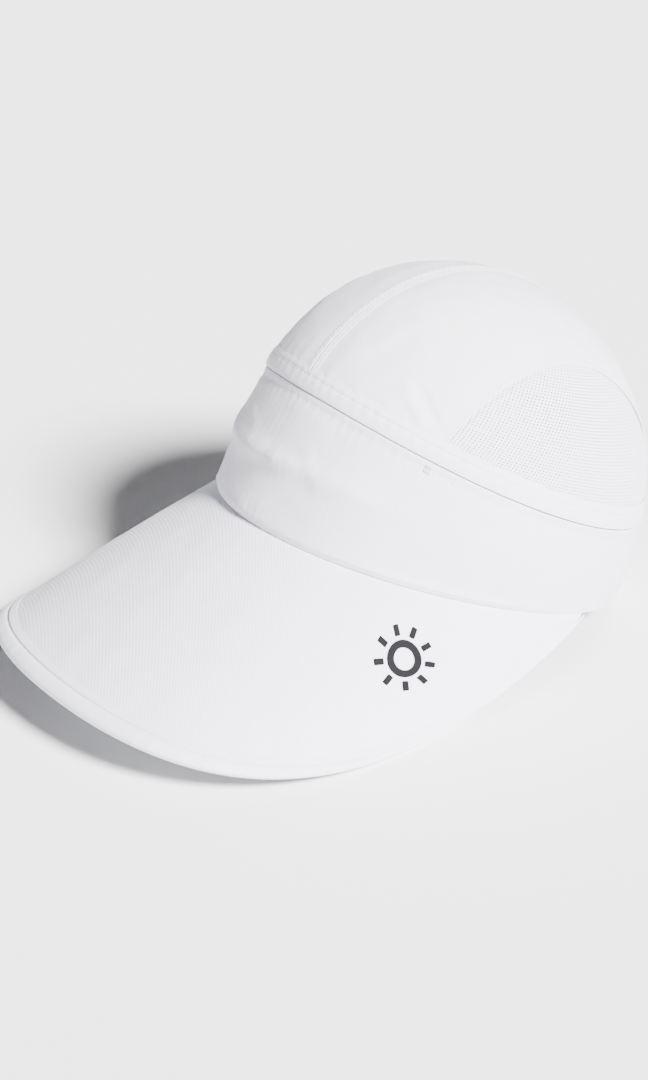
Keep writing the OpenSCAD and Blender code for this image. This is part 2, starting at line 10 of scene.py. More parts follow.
import bpy
import numpy as np
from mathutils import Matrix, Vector


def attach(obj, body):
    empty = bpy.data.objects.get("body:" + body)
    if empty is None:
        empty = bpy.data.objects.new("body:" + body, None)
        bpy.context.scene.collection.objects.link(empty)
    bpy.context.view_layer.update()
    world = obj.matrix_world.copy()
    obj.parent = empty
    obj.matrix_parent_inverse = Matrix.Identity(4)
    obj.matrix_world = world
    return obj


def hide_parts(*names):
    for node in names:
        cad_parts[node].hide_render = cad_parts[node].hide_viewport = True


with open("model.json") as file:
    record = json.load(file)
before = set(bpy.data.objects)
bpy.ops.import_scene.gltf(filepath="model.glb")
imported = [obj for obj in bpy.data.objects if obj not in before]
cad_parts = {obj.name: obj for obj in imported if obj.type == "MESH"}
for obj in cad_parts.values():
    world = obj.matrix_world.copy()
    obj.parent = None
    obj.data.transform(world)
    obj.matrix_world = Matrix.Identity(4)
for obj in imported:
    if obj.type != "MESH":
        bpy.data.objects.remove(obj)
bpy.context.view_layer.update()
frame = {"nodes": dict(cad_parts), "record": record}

opening = next(m for m in frame["record"]["mounts"] if m["name"] == "head_opening")
origin = np.array(opening["pos_m"])
lean_sin, lean_cos = -opening["axis"][1], -opening["axis"][2]


def row(points):
    """Points of the hat's frame, in millimetres, as points of the row frame, in metres."""
    p = np.asarray(points, float) / 1000
    y = p[..., 1] * lean_cos + p[..., 2] * lean_sin
    z = p[..., 2] * lean_cos - p[..., 1] * lean_sin
    return np.stack([p[..., 0] + origin[0], y + origin[1], z + origin[2]], -1)


# ---- sizes, as in the CAD source ----
band_rx, band_ry = 83.0, 97.5
zip_rx, zip_ry, zip_shift = 81.0, 94.0, 3.0
zip_heights = (60.0, 41.5, 36.5)
top_z = 125.0
crown_shift = -9.0
plan_powers = (2.05, 1.81, 1.92)
profile_powers = (1.43, 1.9, 2.18)
slit_half, tape_edge, tape_w = 0.6, 1.2, 9.0
mesh_middle, mesh_half, mesh_top = 97.0, 50.0, 0.52
notch_half, notch_h = math.degrees(math.asin(28.5 / 83)), 21.5
brim_angle, brim_end, binding_end = 113.0, 0.972, 0.985
brim_t = 3.0
cloth_t, foam_t, sweat_t, strap_t, patch_t = 0.5, 1.2, 1.4, 0.8, 0.65
foam_in, lining_in, tuck_in, sweat_in = 0.7, 2.1, 3.2, 4.4
tape_in, teeth_in, tooth_d = 1.1, 1.8, 1.5
strap_low, strap_top = 2.0, 13.0
tail_in, hook_in, loop_in = 0.4, 1.4, 2.35
tail_low, tail_high = 3.0, 12.5

# ---- sizes that only the looks need ----
band_r, crown_r, rear_r, sweat_r, label_r = 86, 84, 95, 80, 92   # mean radii, for lengths along the cloth
crown_arc = 128              # from the zip over the side to the crown's top
front_gap = 0.38             # the zip's half gap where it lies closed, at the front and sides
hem_row, zip_row, brim_row, insert_row, notch_row = 6.7, 4.0, 6.9, 2.0, 2.9   # stitches from their edge
sweat_rows = (3.0, 27.2)
seam_row = 1.8
rib_x, rib_y = 0.435, 0.9    # direction of the brim's ribs
tooth_size, tooth_rise = (1.1, 1.45, 1.9), 0.95


# ---- number helpers ----
def lerp(a, b, s):
    return a + (b - a) * s


def smooth(s):
    k = np.clip(s, 0, 1)
    return k * k * (3 - 2 * k)


def unit(v):
    return v / np.maximum(np.linalg.norm(v, axis=-1, keepdims=True), 1e-12)


def sin_d(a):
    return np.sin(np.radians(a))


def cos_d(a):
    return np.cos(np.radians(a))


def blend3(phi, values):
    front, side, rear = values
    c = cos_d(phi)
    return side + (front - rear) / 2 * c + ((front + rear) / 2 - side) * c * c


def far(p, q):
    return np.linalg.norm(p - q)


def run(line):
    """Distance along a line of points, from its first one."""
    return np.concatenate([[0], np.cumsum(np.linalg.norm(np.diff(line, axis=0), axis=1))])


def near(v, middle, width):
    """1 at the middle, falling off at both sides of it."""
    return np.exp(-((v - middle) / width) ** 2)


def sine(v, length, phase=0.0):
    return np.sin(2 * math.pi * v / length + phase)


def ripple(u, v, seed, size, octaves=3):
    """Soft, seeded unevenness of about -1 to 1, with waves of about that size in millimetres."""
    rng = np.random.default_rng(seed)
    total, weight = np.zeros(np.broadcast(u, v).shape), 0.0
    for octave in range(octaves):
        share = 0.55 ** octave
        for _ in range(6):
            turn, phase = rng.uniform(0, 2 * math.pi, 2)
            rate = 2 * math.pi / (size / 1.9 ** octave) * rng.uniform(0.6, 1.4)
            total = total + share * np.sin(rate * (u * math.cos(turn) + v * math.sin(turn)) + phase)
        weight += share * 2.4
    return total / weight


def ridge(u, v, start, end, width):
    """A fold along a line: 1 on the line, falling to 0 at the sides and past its ends."""
    start, end = np.array(start, float), np.array(end, float)
    along = end - start
    length = np.linalg.norm(along)
    along = along / length
    s = (u - start[0]) * along[0] + (v - start[1]) * along[1]
    d = (v - start[1]) * along[0] - (u - start[0]) * along[1]
    return np.exp(-((d / width) ** 2)) * smooth(s / (0.35 * length)) * smooth((length - s) / (0.35 * length))


# ---- surfaces ----
def zip_h(phi):
    return blend3(phi, zip_heights)


def band_pt(phi, z, depth=0.0):
    phi, z, depth = np.broadcast_arrays(phi, z, depth)
    s = z / zip_h(phi)
    swell = 2.5 * sin_d(180 * np.maximum(0, s)) - depth
    x = (lerp(band_rx, zip_rx, s) + swell) * sin_d(phi)
    y = zip_shift * s - (lerp(band_ry, zip_ry, s) + swell) * cos_d(phi)
    return np.stack([x, y, z], -1)


def crown_pt(phi, s, depth=0.0):
    phi, s, depth = np.broadcast_arrays(phi, s, depth)
    out = np.clip(cos_d(90 * s), 0, 1) ** (2 / blend3(phi, plan_powers))
    up = np.clip(sin_d(90 * s), 0, 1) ** (2 / blend3(phi, profile_powers))
    x = (zip_rx - depth) * sin_d(phi) * out
    y = zip_shift + crown_shift * up - (zip_ry - depth) * cos_d(phi) * out
    return np.stack([x, y, lerp(zip_h(phi), top_z - depth, up)], -1)


def crown_share(phi, h):
    up = np.clip(h / (top_z - zip_h(phi)), 0, 1)
    return np.degrees(np.arcsin(up ** (blend3(phi, profile_powers) / 2))) / 90


def crown_at(phi, h, depth=0.0):
    return crown_pt(phi, crown_share(phi, h), depth)


def mesh_share(phi):
    d = np.minimum(1, np.abs(np.abs(phi) - mesh_middle) / mesh_half)
    return mesh_top * (1 - d ** 2.5) ** 0.6


def notch_edge(phi):
    d = np.minimum(1, np.abs(180 - np.abs(phi)) / notch_half)
    return notch_h * (1 - d ** 4) ** 0.25


def brim_edge(t):
    a = np.abs(np.asarray(t, float))[..., None]
    b = 1 - a
    tip = band_pt(brim_angle, 0.0)
    p = (b ** 4 * np.array([0, -176, -82.0]) + 4 * a * b ** 3 * np.array([65, -176, -82.0])
         + 6 * a * a * b * b * np.array([121, -150, -79.0])
         + 4 * a ** 3 * b * np.array([106.5, -61.5, -87.0]) + a ** 4 * tip)
    p = p.copy()
    p[..., 0] *= np.sign(t)
    return p


def brim_face(t, u):
    t, u = np.broadcast_arrays(np.asarray(t, float), np.asarray(u, float))
    root = band_pt(t * brim_angle, 0.0) - np.array([0, 0, 0.2])
    rim = brim_edge(t)
    p = lerp(root, rim, u[..., None])
    p[..., 2] += 0.014 * np.linalg.norm(rim - root, axis=-1) * 4 * u * (1 - u)
    return p


def brim_inward(t, u):
    e, v = 0.004, np.clip(u, 0.02, 0.98)
    along = brim_face(t + e, v) - brim_face(t - e, v)
    across = brim_face(t, v + e) - brim_face(t, v - e)
    return unit(np.cross(along, across))


def brim_pt(t, u, depth=0.0):
    return brim_face(t, u) + np.asarray(depth, float)[..., None] * brim_inward(t, u)


def brim_length(t):
    return np.linalg.norm(brim_face(t, 1.0) - brim_face(t, 0.0), axis=-1)


def rim_pt(t, inward, depth):
    return brim_pt(t, 1 - np.minimum(0.9, inward / brim_length(t)), depth)


# ---- mesh builders ----
def build(name, points, faces, uvs=None, angle=40):
    """Mesh object from points and lists of faces of equal size, turned so that it faces outwards."""
    world = row(points)
    volume = 0.0
    for f in faces:
        for k in range(1, f.shape[1] - 1):
            normals = np.cross(world[f[:, k]], world[f[:, k + 1]])
            volume += np.einsum("ij,ij->i", world[f[:, 0]], normals).sum()
    if volume < 0:
        faces = [f[:, ::-1] for f in faces]
        uvs = [t[:, ::-1] for t in uvs] if uvs else None
    mesh = bpy.data.meshes.new(name)
    mesh.vertices.add(len(world))
    mesh.vertices.foreach_set("co", world.astype(np.float32).ravel())
    corners = np.concatenate([f.ravel() for f in faces]).astype(np.int32)
    sizes = np.concatenate([np.full(len(f), f.shape[1]) for f in faces])
    mesh.loops.add(len(corners))
    mesh.loops.foreach_set("vertex_index", corners)
    mesh.polygons.add(len(sizes))
    starts = np.concatenate([[0], np.cumsum(sizes)[:-1]]).astype(np.int32)
    mesh.polygons.foreach_set("loop_start", starts)
    mesh.polygons.foreach_set("use_smooth", np.ones(len(sizes), bool))
    mesh.update(calc_edges=True)
    if uvs:
        layer = mesh.uv_layers.new(name="weave")
        flat = np.concatenate([t.reshape(-1, 2) for t in uvs])
        layer.data.foreach_set("uv", flat.astype(np.float32).ravel())
    mesh.set_sharp_from_angle(angle=math.radians(angle))
    piece = bpy.data.objects.new(name, mesh)
    bpy.context.scene.collection.objects.link(piece)
    return piece


def loft_faces(n, k, closed):
    """Faces and grid corners of a tube of n rings of k points whose poles are 0 and k / 2."""
    i0 = np.arange(n if closed else n - 1)
    j = np.arange(k)
    a, b = np.meshgrid(i0, j, indexing="ij")
    c = (b + 1) % k
    quad_i = np.stack([a, a, a + 1, a + 1], -1).reshape(-1, 4)
    quad_j = np.stack([b, c, c, b], -1).reshape(-1, 4)
    faces = [(quad_i, quad_j)]
    if not closed:
        half = k // 2
        m = np.arange(1, half - 1)
        for end, flip in ((0, True), (n - 1, False)):
            for cols in (np.stack([m, m + 1, k - m - 1, k - m], -1),
                         np.array([[0, 1, k - 1], [half - 1, half, half + 1]])):
                cols = cols[:, ::-1] if flip else cols
                if len(cols):
                    faces.append((np.full(cols.shape, end), cols))
    return [((i % n) * k + j, (i, j)) for i, j in faces]


def ribbon(name, outer, inner, closed=False, uv=None, edge=0.2):
    """Closed strip of cloth between two grids, n stations by m points, with rounded long edges."""
    n, m = outer.shape[:2]
    low = (outer[:, 0] + inner[:, 0]) / 2 + edge * unit(outer[:, 0] - outer[:, 1])
    high = (outer[:, -1] + inner[:, -1]) / 2 + edge * unit(outer[:, -1] - outer[:, -2])
    rings = np.concatenate([low[:, None], outer, high[:, None], inner[:, ::-1]], 1)
    k = rings.shape[1]
    if uv is None:
        mid = outer[:, m // 2]
        if closed:
            mid = np.concatenate([mid, mid[:1]])
        uv = np.stack(np.meshgrid(run(mid), run(outer[n // 2]), indexing="ij"), -1)
    uv = np.concatenate([uv[:, :1], uv, uv[:, -1:], uv[:, ::-1]], 1)
    parts = loft_faces(n, k, closed)
    return build(name, rings.reshape(-1, 3), [f for f, _ in parts], [uv[i, j] for _, (i, j) in parts])


def unroll(low, high):
    """Flat pattern of the strip between two lines of points: (n, 2) for each line."""
    a, b = [np.zeros(2)], [np.array([0.0, far(high[0], low[0])])]

    def third(p, q, dp, dq, side):
        d = q - p
        dist = far(q, p)
        x = (dp * dp - dq * dq + dist * dist) / (2 * dist)
        y = math.sqrt(max(dp * dp - x * x, 0))
        e = d / dist
        return p + x * e + side * y * np.array([-e[1], e[0]])

    for i in range(1, len(low)):
        nxt = third(a[-1], b[-1], far(low[i], low[i - 1]), far(low[i], high[i - 1]), -1)
        b.append(third(nxt, b[-1], far(high[i], low[i]), far(high[i], high[i - 1]), -1))
        a.append(nxt)
    return np.array(a), np.array(b)


def flat_uv(outer):
    """Weave coordinates of a grid whose cloth was cut flat."""
    low, high = unroll(outer[:, 0], outer[:, -1])
    step = run(outer[len(outer) // 2])
    return low[:, None] + (high - low)[:, None] * (step / step[-1])[None, :, None]


def resample(line, normals, pitch):
    """Points, directions and normals at an even pitch along a line of points."""
    s = run(line)
    count = max(2, int(s[-1] / pitch))
    at = (np.arange(count) + 0.5) * s[-1] / count

    def read(rows, place):
        return np.stack([np.interp(place, s, rows[:, k]) for k in range(3)], -1)

    return read(line, at), unit(read(line, at + 0.2) - read(line, at - 0.2)), unit(read(normals, at))


thread_rings = ((-0.5, -0.16, 0), (-0.36, 0.05, 0.85), (0, 0.13, 1), (0.36, 0.05, 0.85), (0.5, -0.16, 0))


def stitches(name, lines, body, length=2.3, pitch=2.9, radius=0.17, seed=1):
    """Rows of thread stitches along lines; each line is (points, outward normals)."""
    rng = np.random.default_rng(seed)
    sides, verts, tris, quads, count = 6, [], [], [], 0
    for line, normals in lines:
        here, ahead, up = resample(line, normals, pitch)
        side = unit(np.cross(up, ahead))
        n = len(here)
        ahead = unit(ahead + side * rng.uniform(0.03, 0.11, (n, 1)))
        long = length * rng.uniform(0.93, 1.05, (n, 1))
        here = here + side * rng.uniform(-0.05, 0.05, (n, 1))
        turn = np.arange(sides) * 2 * math.pi / sides
        circle = side[:, None] * np.cos(turn)[None, :, None] + up[:, None] * np.sin(turn)[None, :, None]
        rings = []
        for share, height, wide in thread_rings:
            centre = (here + ahead * long * share + up * height)[:, None]
            rings.append(centre + radius * wide * circle if wide else centre)
        block = np.concatenate(rings, 1)
        verts.append(block.reshape(-1, 3))
        size = block.shape[1]
        base = count + np.arange(n)[:, None] * size
        j = np.arange(sides)
        k = (j + 1) % sides
        last, lower = 0 * j + size - 1, size - 1 - sides
        for corners in ([0 * j, 1 + k, 1 + j], [last, lower + j, lower + k]):
            tris.append((base[..., None] + np.stack(corners, -1)[None]).reshape(-1, 3))
        for r in (1, 1 + sides):
            corners = [r + j, r + k, r + sides + k, r + sides + j]
            quads.append((base[..., None] + np.stack(corners, -1)[None]).reshape(-1, 4))
        count += n * size
    piece = build(name, np.concatenate(verts), [np.concatenate(tris), np.concatenate(quads)], None, 80)
    return dress(piece, body, "thread", None)


def beads(name, centres, ahead, up, size, body, material, slot, node):
    """Small blocks with bevelled edges, one at each centre; size is (along, across, up)."""
    side = unit(np.cross(up, ahead))
    octagon = ((-1, -0.7), (-0.7, -1), (0.7, -1), (1, -0.7), (1, 0.7), (0.7, 1), (-0.7, 1), (-1, 0.7))
    layers = ((-1, 0.72), (-0.72, 1), (0.72, 1), (1, 0.72))
    shape = np.array([(x * shrink, y * shrink, z) for z, shrink in layers for x, y in octagon])
    shape = shape * np.array(size) / 2
    points = (centres[:, None] + shape[None, :, :1] * ahead[:, None] + shape[None, :, 1:2] * side[:, None]
              + shape[None, :, 2:] * up[:, None])
    base = np.arange(len(centres))[:, None, None] * 32
    j = np.arange(8)
    k = (j + 1) % 8
    quads = np.concatenate([r * 8 + np.stack([j, k, 8 + k, 8 + j], -1) for r in range(3)])
    ends = np.stack([j[::-1], 24 + j])
    faces = [(base + quads).reshape(-1, 4), (base + ends).reshape(-1, 8)]
    return dress(build(name, points.reshape(-1, 3), faces, None, 30), body, material, slot, node)


# ---- materials ----
materials = {}
sockets = {"rough": "Roughness", "gloss": "Specular IOR Level", "sheen": "Sheen Weight",
           "fuzz": "Sheen Roughness", "coat": "Coat Weight"}


def grow(tree, kind, **inputs):
    node = tree.nodes.new(kind)
    for key, value in inputs.items():
        if hasattr(node, key):
            setattr(node, key, value)
        else:
            put(tree, node.inputs[key.replace("_", " ")], value)
    return node


def put(tree, socket, value):
    if isinstance(value, bpy.types.NodeSocket):
        tree.links.new(value, socket)
    else:
        socket.default_value = value


def calc(tree, operation, a, b=None, c=None):
    node = tree.nodes.new("ShaderNodeMath")
    node.operation = operation
    for k, value in enumerate((a, b, c)):
        if value is not None:
            put(tree, node.inputs[k], value)
    return node.outputs[0]


def shade(name, colour, low, height, **surface):
    """Material whose relief comes from a function; its colour goes from low, a painted shade in the relief's
    hollows, to colour, with random mottling.
    """
    material = bpy.data.materials.new(name)
    material.use_nodes = True
    tree = material.node_tree
    shader = tree.nodes["Principled BSDF"]
    for key, socket in sockets.items():
        if key in surface:
            shader.inputs[socket].default_value = surface[key]
    where = tree.nodes.new("ShaderNodeTexCoord").outputs["Object"]
    cloud = grow(tree, "ShaderNodeTexNoise", Vector=where, Scale=surface.get("mottle", 45.0), Detail=3.0)
    relief = height(tree, where)
    share = calc(tree, "MULTIPLY_ADD", relief, 0.62, calc(tree, "MULTIPLY", cloud.outputs[0], 0.62))
    # Base colour: painted shade in the relief's hollows, mixed with random mottling from the noise
    mottle_and_painted_shade = tree.nodes.new("ShaderNodeMix")
    mottle_and_painted_shade.data_type = "RGBA"
    mottle_and_painted_shade.clamp_factor = True
    put(tree, mottle_and_painted_shade.inputs["Factor"], share)
    mottle_and_painted_shade.inputs[6].default_value = (*low, 1)
    mottle_and_painted_shade.inputs[7].default_value = (*colour, 1)
    tree.links.new(mottle_and_painted_shade.outputs[2], shader.inputs["Base Color"])
    bump = grow(tree, "ShaderNodeBump", Strength=surface["bump"], Distance=surface["relief"], Height=relief)
    tree.links.new(bump.outputs[0], shader.inputs["Normal"])
    materials[name] = material


def threads(tree):
    uv = tree.nodes.new("ShaderNodeUVMap")
    uv.uv_map = "weave"
    split = tree.nodes.new("ShaderNodeSeparateXYZ")
    tree.links.new(uv.outputs[0], split.inputs[0])
    return split.outputs[0], split.outputs[1]


def wave(tree, value, pitch):
    return calc(tree, "SINE", calc(tree, "MULTIPLY_ADD", value, 2 * math.pi / pitch, 0.0))


def plain(pitch):
    """Plain weave: threads pass over and under each other, with slubs."""
    def height(tree, where):
        u, v = threads(tree)
        over = calc(tree, "MULTIPLY", wave(tree, u, 2 * pitch), wave(tree, v, 2 * pitch))
        fine = calc(tree, "MULTIPLY", calc(tree, "ABSOLUTE", wave(tree, u, 2 * pitch)),
                    calc(tree, "ABSOLUTE", wave(tree, v, 2 * pitch)))
        noise = grow(tree, "ShaderNodeTexNoise", Vector=where, Scale=900.0, Detail=2.0)
        weave = calc(tree, "MULTIPLY_ADD", over, 0.18, calc(tree, "MULTIPLY_ADD", fine, 0.5, 0.2))
        return calc(tree, "MULTIPLY_ADD", noise.outputs[0], 0.35, weave)
    return height


def ribbed(pitch, cross, uneven=0.3):
    """Fine ribs along v with a weaker thread across them."""
    def height(tree, where):
        u, v = threads(tree)
        rib = calc(tree, "MULTIPLY_ADD", wave(tree, u, pitch), 0.26, 0.35)
        over = calc(tree, "MULTIPLY", wave(tree, v, cross), 0.14)
        noise = grow(tree, "ShaderNodeTexNoise", Vector=where, Scale=700.0, Detail=2.0)
        return calc(tree, "MULTIPLY_ADD", noise.outputs[0], uneven, calc(tree, "ADD", rib, over))
    return height


def herringbone(pitch, column):
    """Narrow woven tape: slanted threads that turn back in each column."""
    def height(tree, where):
        u, v = threads(tree)
        fold = calc(tree, "PINGPONG", v, column)
        rib = wave(tree, calc(tree, "MULTIPLY_ADD", fold, 1.1, u), pitch)
        noise = grow(tree, "ShaderNodeTexNoise", Vector=where, Scale=800.0, Detail=2.0)
        return calc(tree, "MULTIPLY_ADD", noise.outputs[0], 0.3, calc(tree, "MULTIPLY_ADD", rib, 0.28, 0.36))
    return height


def grain(scale, rough=0.6):
    """Soft uneven relief with no direction, such as brushed pile, foam or moulded plastic."""
    def height(tree, where):
        return grow(tree, "ShaderNodeTexNoise", Vector=where, Scale=scale, Detail=5.0, Roughness=rough).outputs[0]
    return height


def pile(scale):
    """Close rows of hooks or loops."""
    def height(tree, where):
        cell = grow(tree, "ShaderNodeTexVoronoi", Vector=where, Scale=scale)
        noise = grow(tree, "ShaderNodeTexNoise", Vector=where, Scale=scale * 1.7, Detail=3.0)
        dots = calc(tree, "MULTIPLY_ADD", cell.outputs[0], -0.7, 0.6)
        return calc(tree, "MULTIPLY_ADD", noise.outputs[0], 0.5, dots)
    return height


# Each material's second colour is painted shade, given to the hollows of its relief
shade("crown_weave", (0.82, 0.822, 0.88), (0.71, 0.71, 0.775), plain(0.42),
      rough=0.82, sheen=0.18, fuzz=0.4, gloss=0.28, bump=0.45, relief=0.0001)
shade("band_weave", (0.815, 0.817, 0.88), (0.66, 0.66, 0.74), ribbed(1.05, 0.6),
      rough=0.78, sheen=0.2, fuzz=0.35, gloss=0.3, bump=0.8, relief=0.00022)
shade("brim_weave", (0.82, 0.822, 0.885), (0.69, 0.69, 0.76), ribbed(1.15, 0.9, 0.75),
      rough=0.8, sheen=0.15, fuzz=0.4, gloss=0.28, bump=0.5, relief=0.0002)
shade("under_weave", (0.79, 0.795, 0.81), (0.68, 0.685, 0.705), plain(0.5),
      rough=0.85, sheen=0.12, gloss=0.25, bump=0.45, relief=0.0001)
shade("knit", (0.82, 0.822, 0.88), (0.71, 0.71, 0.775), ribbed(0.4, 0.4),
      rough=0.75, sheen=0.2, gloss=0.3, bump=0.4, relief=0.0001)
shade("tape_weave", (0.80, 0.805, 0.82), (0.68, 0.685, 0.70), herringbone(0.8, 1.5),
      rough=0.8, sheen=0.1, gloss=0.3, bump=0.6, relief=0.00014)
shade("lining_weave", (0.80, 0.80, 0.815), (0.70, 0.70, 0.72), plain(0.6),
      rough=0.88, sheen=0.1, gloss=0.22, bump=0.5, relief=0.00012)
shade("sweat_pile", (0.79, 0.79, 0.80), (0.66, 0.66, 0.675), pile(900.0),
      rough=0.95, sheen=0.35, fuzz=0.6, gloss=0.15, bump=0.7, relief=0.0002)
shade("strap_weave", (0.80, 0.805, 0.82), (0.64, 0.645, 0.665), herringbone(1.1, 1.9),
      rough=0.72, sheen=0.12, gloss=0.35, bump=0.8, relief=0.0002)
shade("loop_pile", (0.80, 0.80, 0.815), (0.62, 0.62, 0.635), pile(1500.0),
      rough=0.96, sheen=0.5, fuzz=0.7, gloss=0.12, bump=0.9, relief=0.0003)
shade("hook_rows", (0.78, 0.785, 0.80), (0.56, 0.565, 0.58), ribbed(0.9, 1.1, 0.2),
      rough=0.45, gloss=0.45, bump=1.0, relief=0.0003)
shade("thread", (0.84, 0.845, 0.86), (0.70, 0.705, 0.725), grain(2600.0),
      rough=0.6, sheen=0.25, gloss=0.4, bump=0.5, relief=0.00006)
shade("label_satin", (0.84, 0.845, 0.86), (0.70, 0.71, 0.74), ribbed(0.35, 2.6, 0.2),
      rough=0.45, sheen=0.2, gloss=0.5, bump=0.35, relief=0.00008)
shade("foam_cells", (0.74, 0.745, 0.76), (0.55, 0.555, 0.57), pile(2200.0),
      rough=0.95, gloss=0.15, bump=0.7, relief=0.00015)
shade("board", (0.70, 0.705, 0.72), (0.60, 0.605, 0.62), grain(260.0),
      rough=0.5, gloss=0.45, bump=0.2, relief=0.0001)
shade("zip_nylon", (0.80, 0.805, 0.82), (0.70, 0.705, 0.72), grain(900.0),
      rough=0.38, gloss=0.5, coat=0.1, bump=0.15, relief=0.00006)
shade("painted_metal", (0.82, 0.825, 0.84), (0.72, 0.725, 0.74), grain(500.0, 0.7),
      rough=0.32, gloss=0.5, coat=0.35, bump=0.12, relief=0.00005)
shade("emblem_film", (0.011, 0.0107, 0.0125), (0.006, 0.0058, 0.0075), grain(1800.0),
      rough=0.7, gloss=0.08, bump=0.25, relief=0.00004)


def dress(piece, body, material, slot, *nodes):
    """Material, body and the CAD nodes that the piece stands for; slot is not used."""
    piece.data.materials.clear()
    piece.data.materials.append(materials[material])
    if nodes:
        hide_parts(*nodes)
    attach(piece, body)
    return piece


# ---- shared angles ----
ring = np.concatenate([np.linspace(notch_half - 180, 180 - notch_half, 441),
                       180 - notch_half * cos_d(np.arange(1, 48) * 180 / 48)])
around = np.linspace(-180, 180, 481)[:-1]
rear_free = 180 - notch_half
arch = mesh_middle - mesh_half * cos_d(np.linspace(0, 180, 151))
panel = np.concatenate([np.linspace(0, arch[0], 61)[:-1], arch, np.linspace(arch[-1], 180, 41)[1:]])


def normal_of(surface, phi, h):
    """Outward unit normals of a surface given by an angle and a height."""
    a = surface(phi + 0.3, h) - surface(phi - 0.3, h)
    b = surface(phi, h + 0.3) - surface(phi, h - 0.3)
    return unit(np.cross(a, b))


# ---- band ----
def band_relief(phi, z):
    """How far the outer cloth stands off its mean face: soft folds and fine wrinkles."""
    u = np.radians(phi) * band_r
    edge = smooth((z - notch_edge(phi)) / 5) * smooth((zip_h(phi) - z - 2) / 6)
    fine = 0.09 * sine(u, 4.1, 1.4 * ripple(u, z, 5, 26)) * (0.5 + 0.5 * ripple(u, z, 6, 34))
    front = near(phi, -2, 24)
    from_fold = z - 30 - 1.4 * np.sin(u / 17)
    slump = ((0.5 + 2.2 * near(from_fold, 0, 4.6) - 0.55 * near(from_fold, -11, 5) + 1.1 * near(z, 5.5, 4.5))
             * near(u, -4, 54) * (1 + 0.3 * ripple(u, z, 7, 40)))
    folds = (slump + 0.5 * ridge(u, z, (-36, 44), (-12, 34), 2.6)
             + 0.5 * ridge(u, z, (14, 44), (34, 22), 3.0) + 0.4 * ridge(u, z, (70, 12), (104, 30), 4.0)
             + 0.45 * ridge(u, z, (-70, 30), (-104, 10), 4.0) + 0.35 * ridge(u, z, (132, 10), (168, 26), 4.0))
    pucker = 0.1 * sine(u, 5.4, 0.8 * ripple(u, z, 9, 40)) * near(zip_h(phi) - z, zip_row, 4)
    foot = 1.05 * near(z, 2.3, 1.5) * smooth((brim_angle - 6 - np.abs(phi)) / 30)
    lift = edge * (0.4 * ripple(u, z, 3, 52) + folds + fine * (0.25 + 0.75 * front)) + pucker + foot
    return np.maximum(lift, 0.12 * lift - 0.12)


rows = np.concatenate([[0, 0.006, 0.02], np.linspace(0.045, 0.955, 34), [0.975, 0.99, 1]])
shut = smooth((140 - np.abs(ring)) / 20)
low, high = notch_edge(ring), zip_h(ring) - lerp(slit_half, front_gap, shut)
a = ring[:, None]
h = lerp(low[:, None], high[:, None], rows[None, :])
drop = high[:, None] - h
lip = (lerp(0.28, 0.5, shut)[:, None] * smooth((2.6 - drop) / 1.6) - 0.42 * near(drop, 3.6, 1)
       + 0.1 * sine(np.radians(a) * band_r, 3.1) * near(drop, 3.2, 1.6))
lift = band_relief(a, h) + lip
outer, inner = band_pt(a, h, -lift), band_pt(a, h, cloth_t - lift * 0.6)
closed_uv = flat_uv(np.concatenate([band_pt(a, h), band_pt(a[:1], h[:1])]))
band = ribbon("band_cloth", outer, inner, closed=True, uv=closed_uv, edge=0.22)
dress(band, "visor", "band_weave", "band_cloth", "band_outer_fabric")


def band_layer(name, phi, low, high, depth, t, material, slot, node, closed=True):
    h = lerp(low[:, None], high[:, None], np.linspace(0, 1, 8)[None, :])
    outer, inner = band_pt(phi[:, None], h, depth), band_pt(phi[:, None], h, depth + t)
    uv = flat_uv(np.concatenate([outer, outer[:1]])) if closed else None
    return dress(ribbon(name, outer, inner, closed, uv, edge=0.12), "visor", material, slot, node)


band_layer("band_foam", ring, notch_edge(ring) + 0.8, zip_h(ring) - 10.5, foam_in, foam_t,
           "foam_cells", "foam", "band_interlining")
band_layer("band_inside", ring, notch_edge(ring) + 0.3, zip_h(ring) - 12, lining_in, cloth_t,
           "lining_weave", "lining_cloth", "band_lining")
band_layer("zip_facing", ring, zip_h(ring) - 10, zip_h(ring) - 4.2, teeth_in, cloth_t,
           "under_weave", "band_cloth", "band_top_facing")
allow = np.linspace(-brim_angle * brim_end, brim_angle * brim_end, 240)
band_layer("brim_allowance", allow, 0 * allow - 0.6, 0 * allow + 8, tuck_in, strap_t,
           "under_weave", "lining_cloth", "brim_seam_allowance", closed=False)

# Sweatband: a soft roll, pulled in by its two rows of stitches
reach = rear_free - 1.5
phi = np.linspace(-reach, reach, 401)[:, None]
z = np.concatenate([np.linspace(-0.4, 5, 10), np.linspace(5.6, 24.4, 22), np.linspace(25, 30, 9)])[None, :]
u = np.radians(phi) * sweat_r
puff = (0.75 * smooth((z - 3.2) / 3) * smooth((27 - z) / 3) * (1 + 0.25 * ripple(u, z, 21, 24))
        - 0.35 * near(z, sweat_rows[0], 0.5) - 0.35 * near(z, sweat_rows[1], 0.5)
        + 0.25 * smooth((z - 27.8) / 0.8))
outer = band_pt(phi, z, sweat_in + 0.06 * ripple(u, z, 22, 30))
inner = band_pt(phi, z, sweat_in + sweat_t + puff)
sweat = ribbon("sweatband_roll", outer, inner, edge=0.45)
dress(sweat, "visor", "sweat_pile", "sweat_cloth", "sweatband")

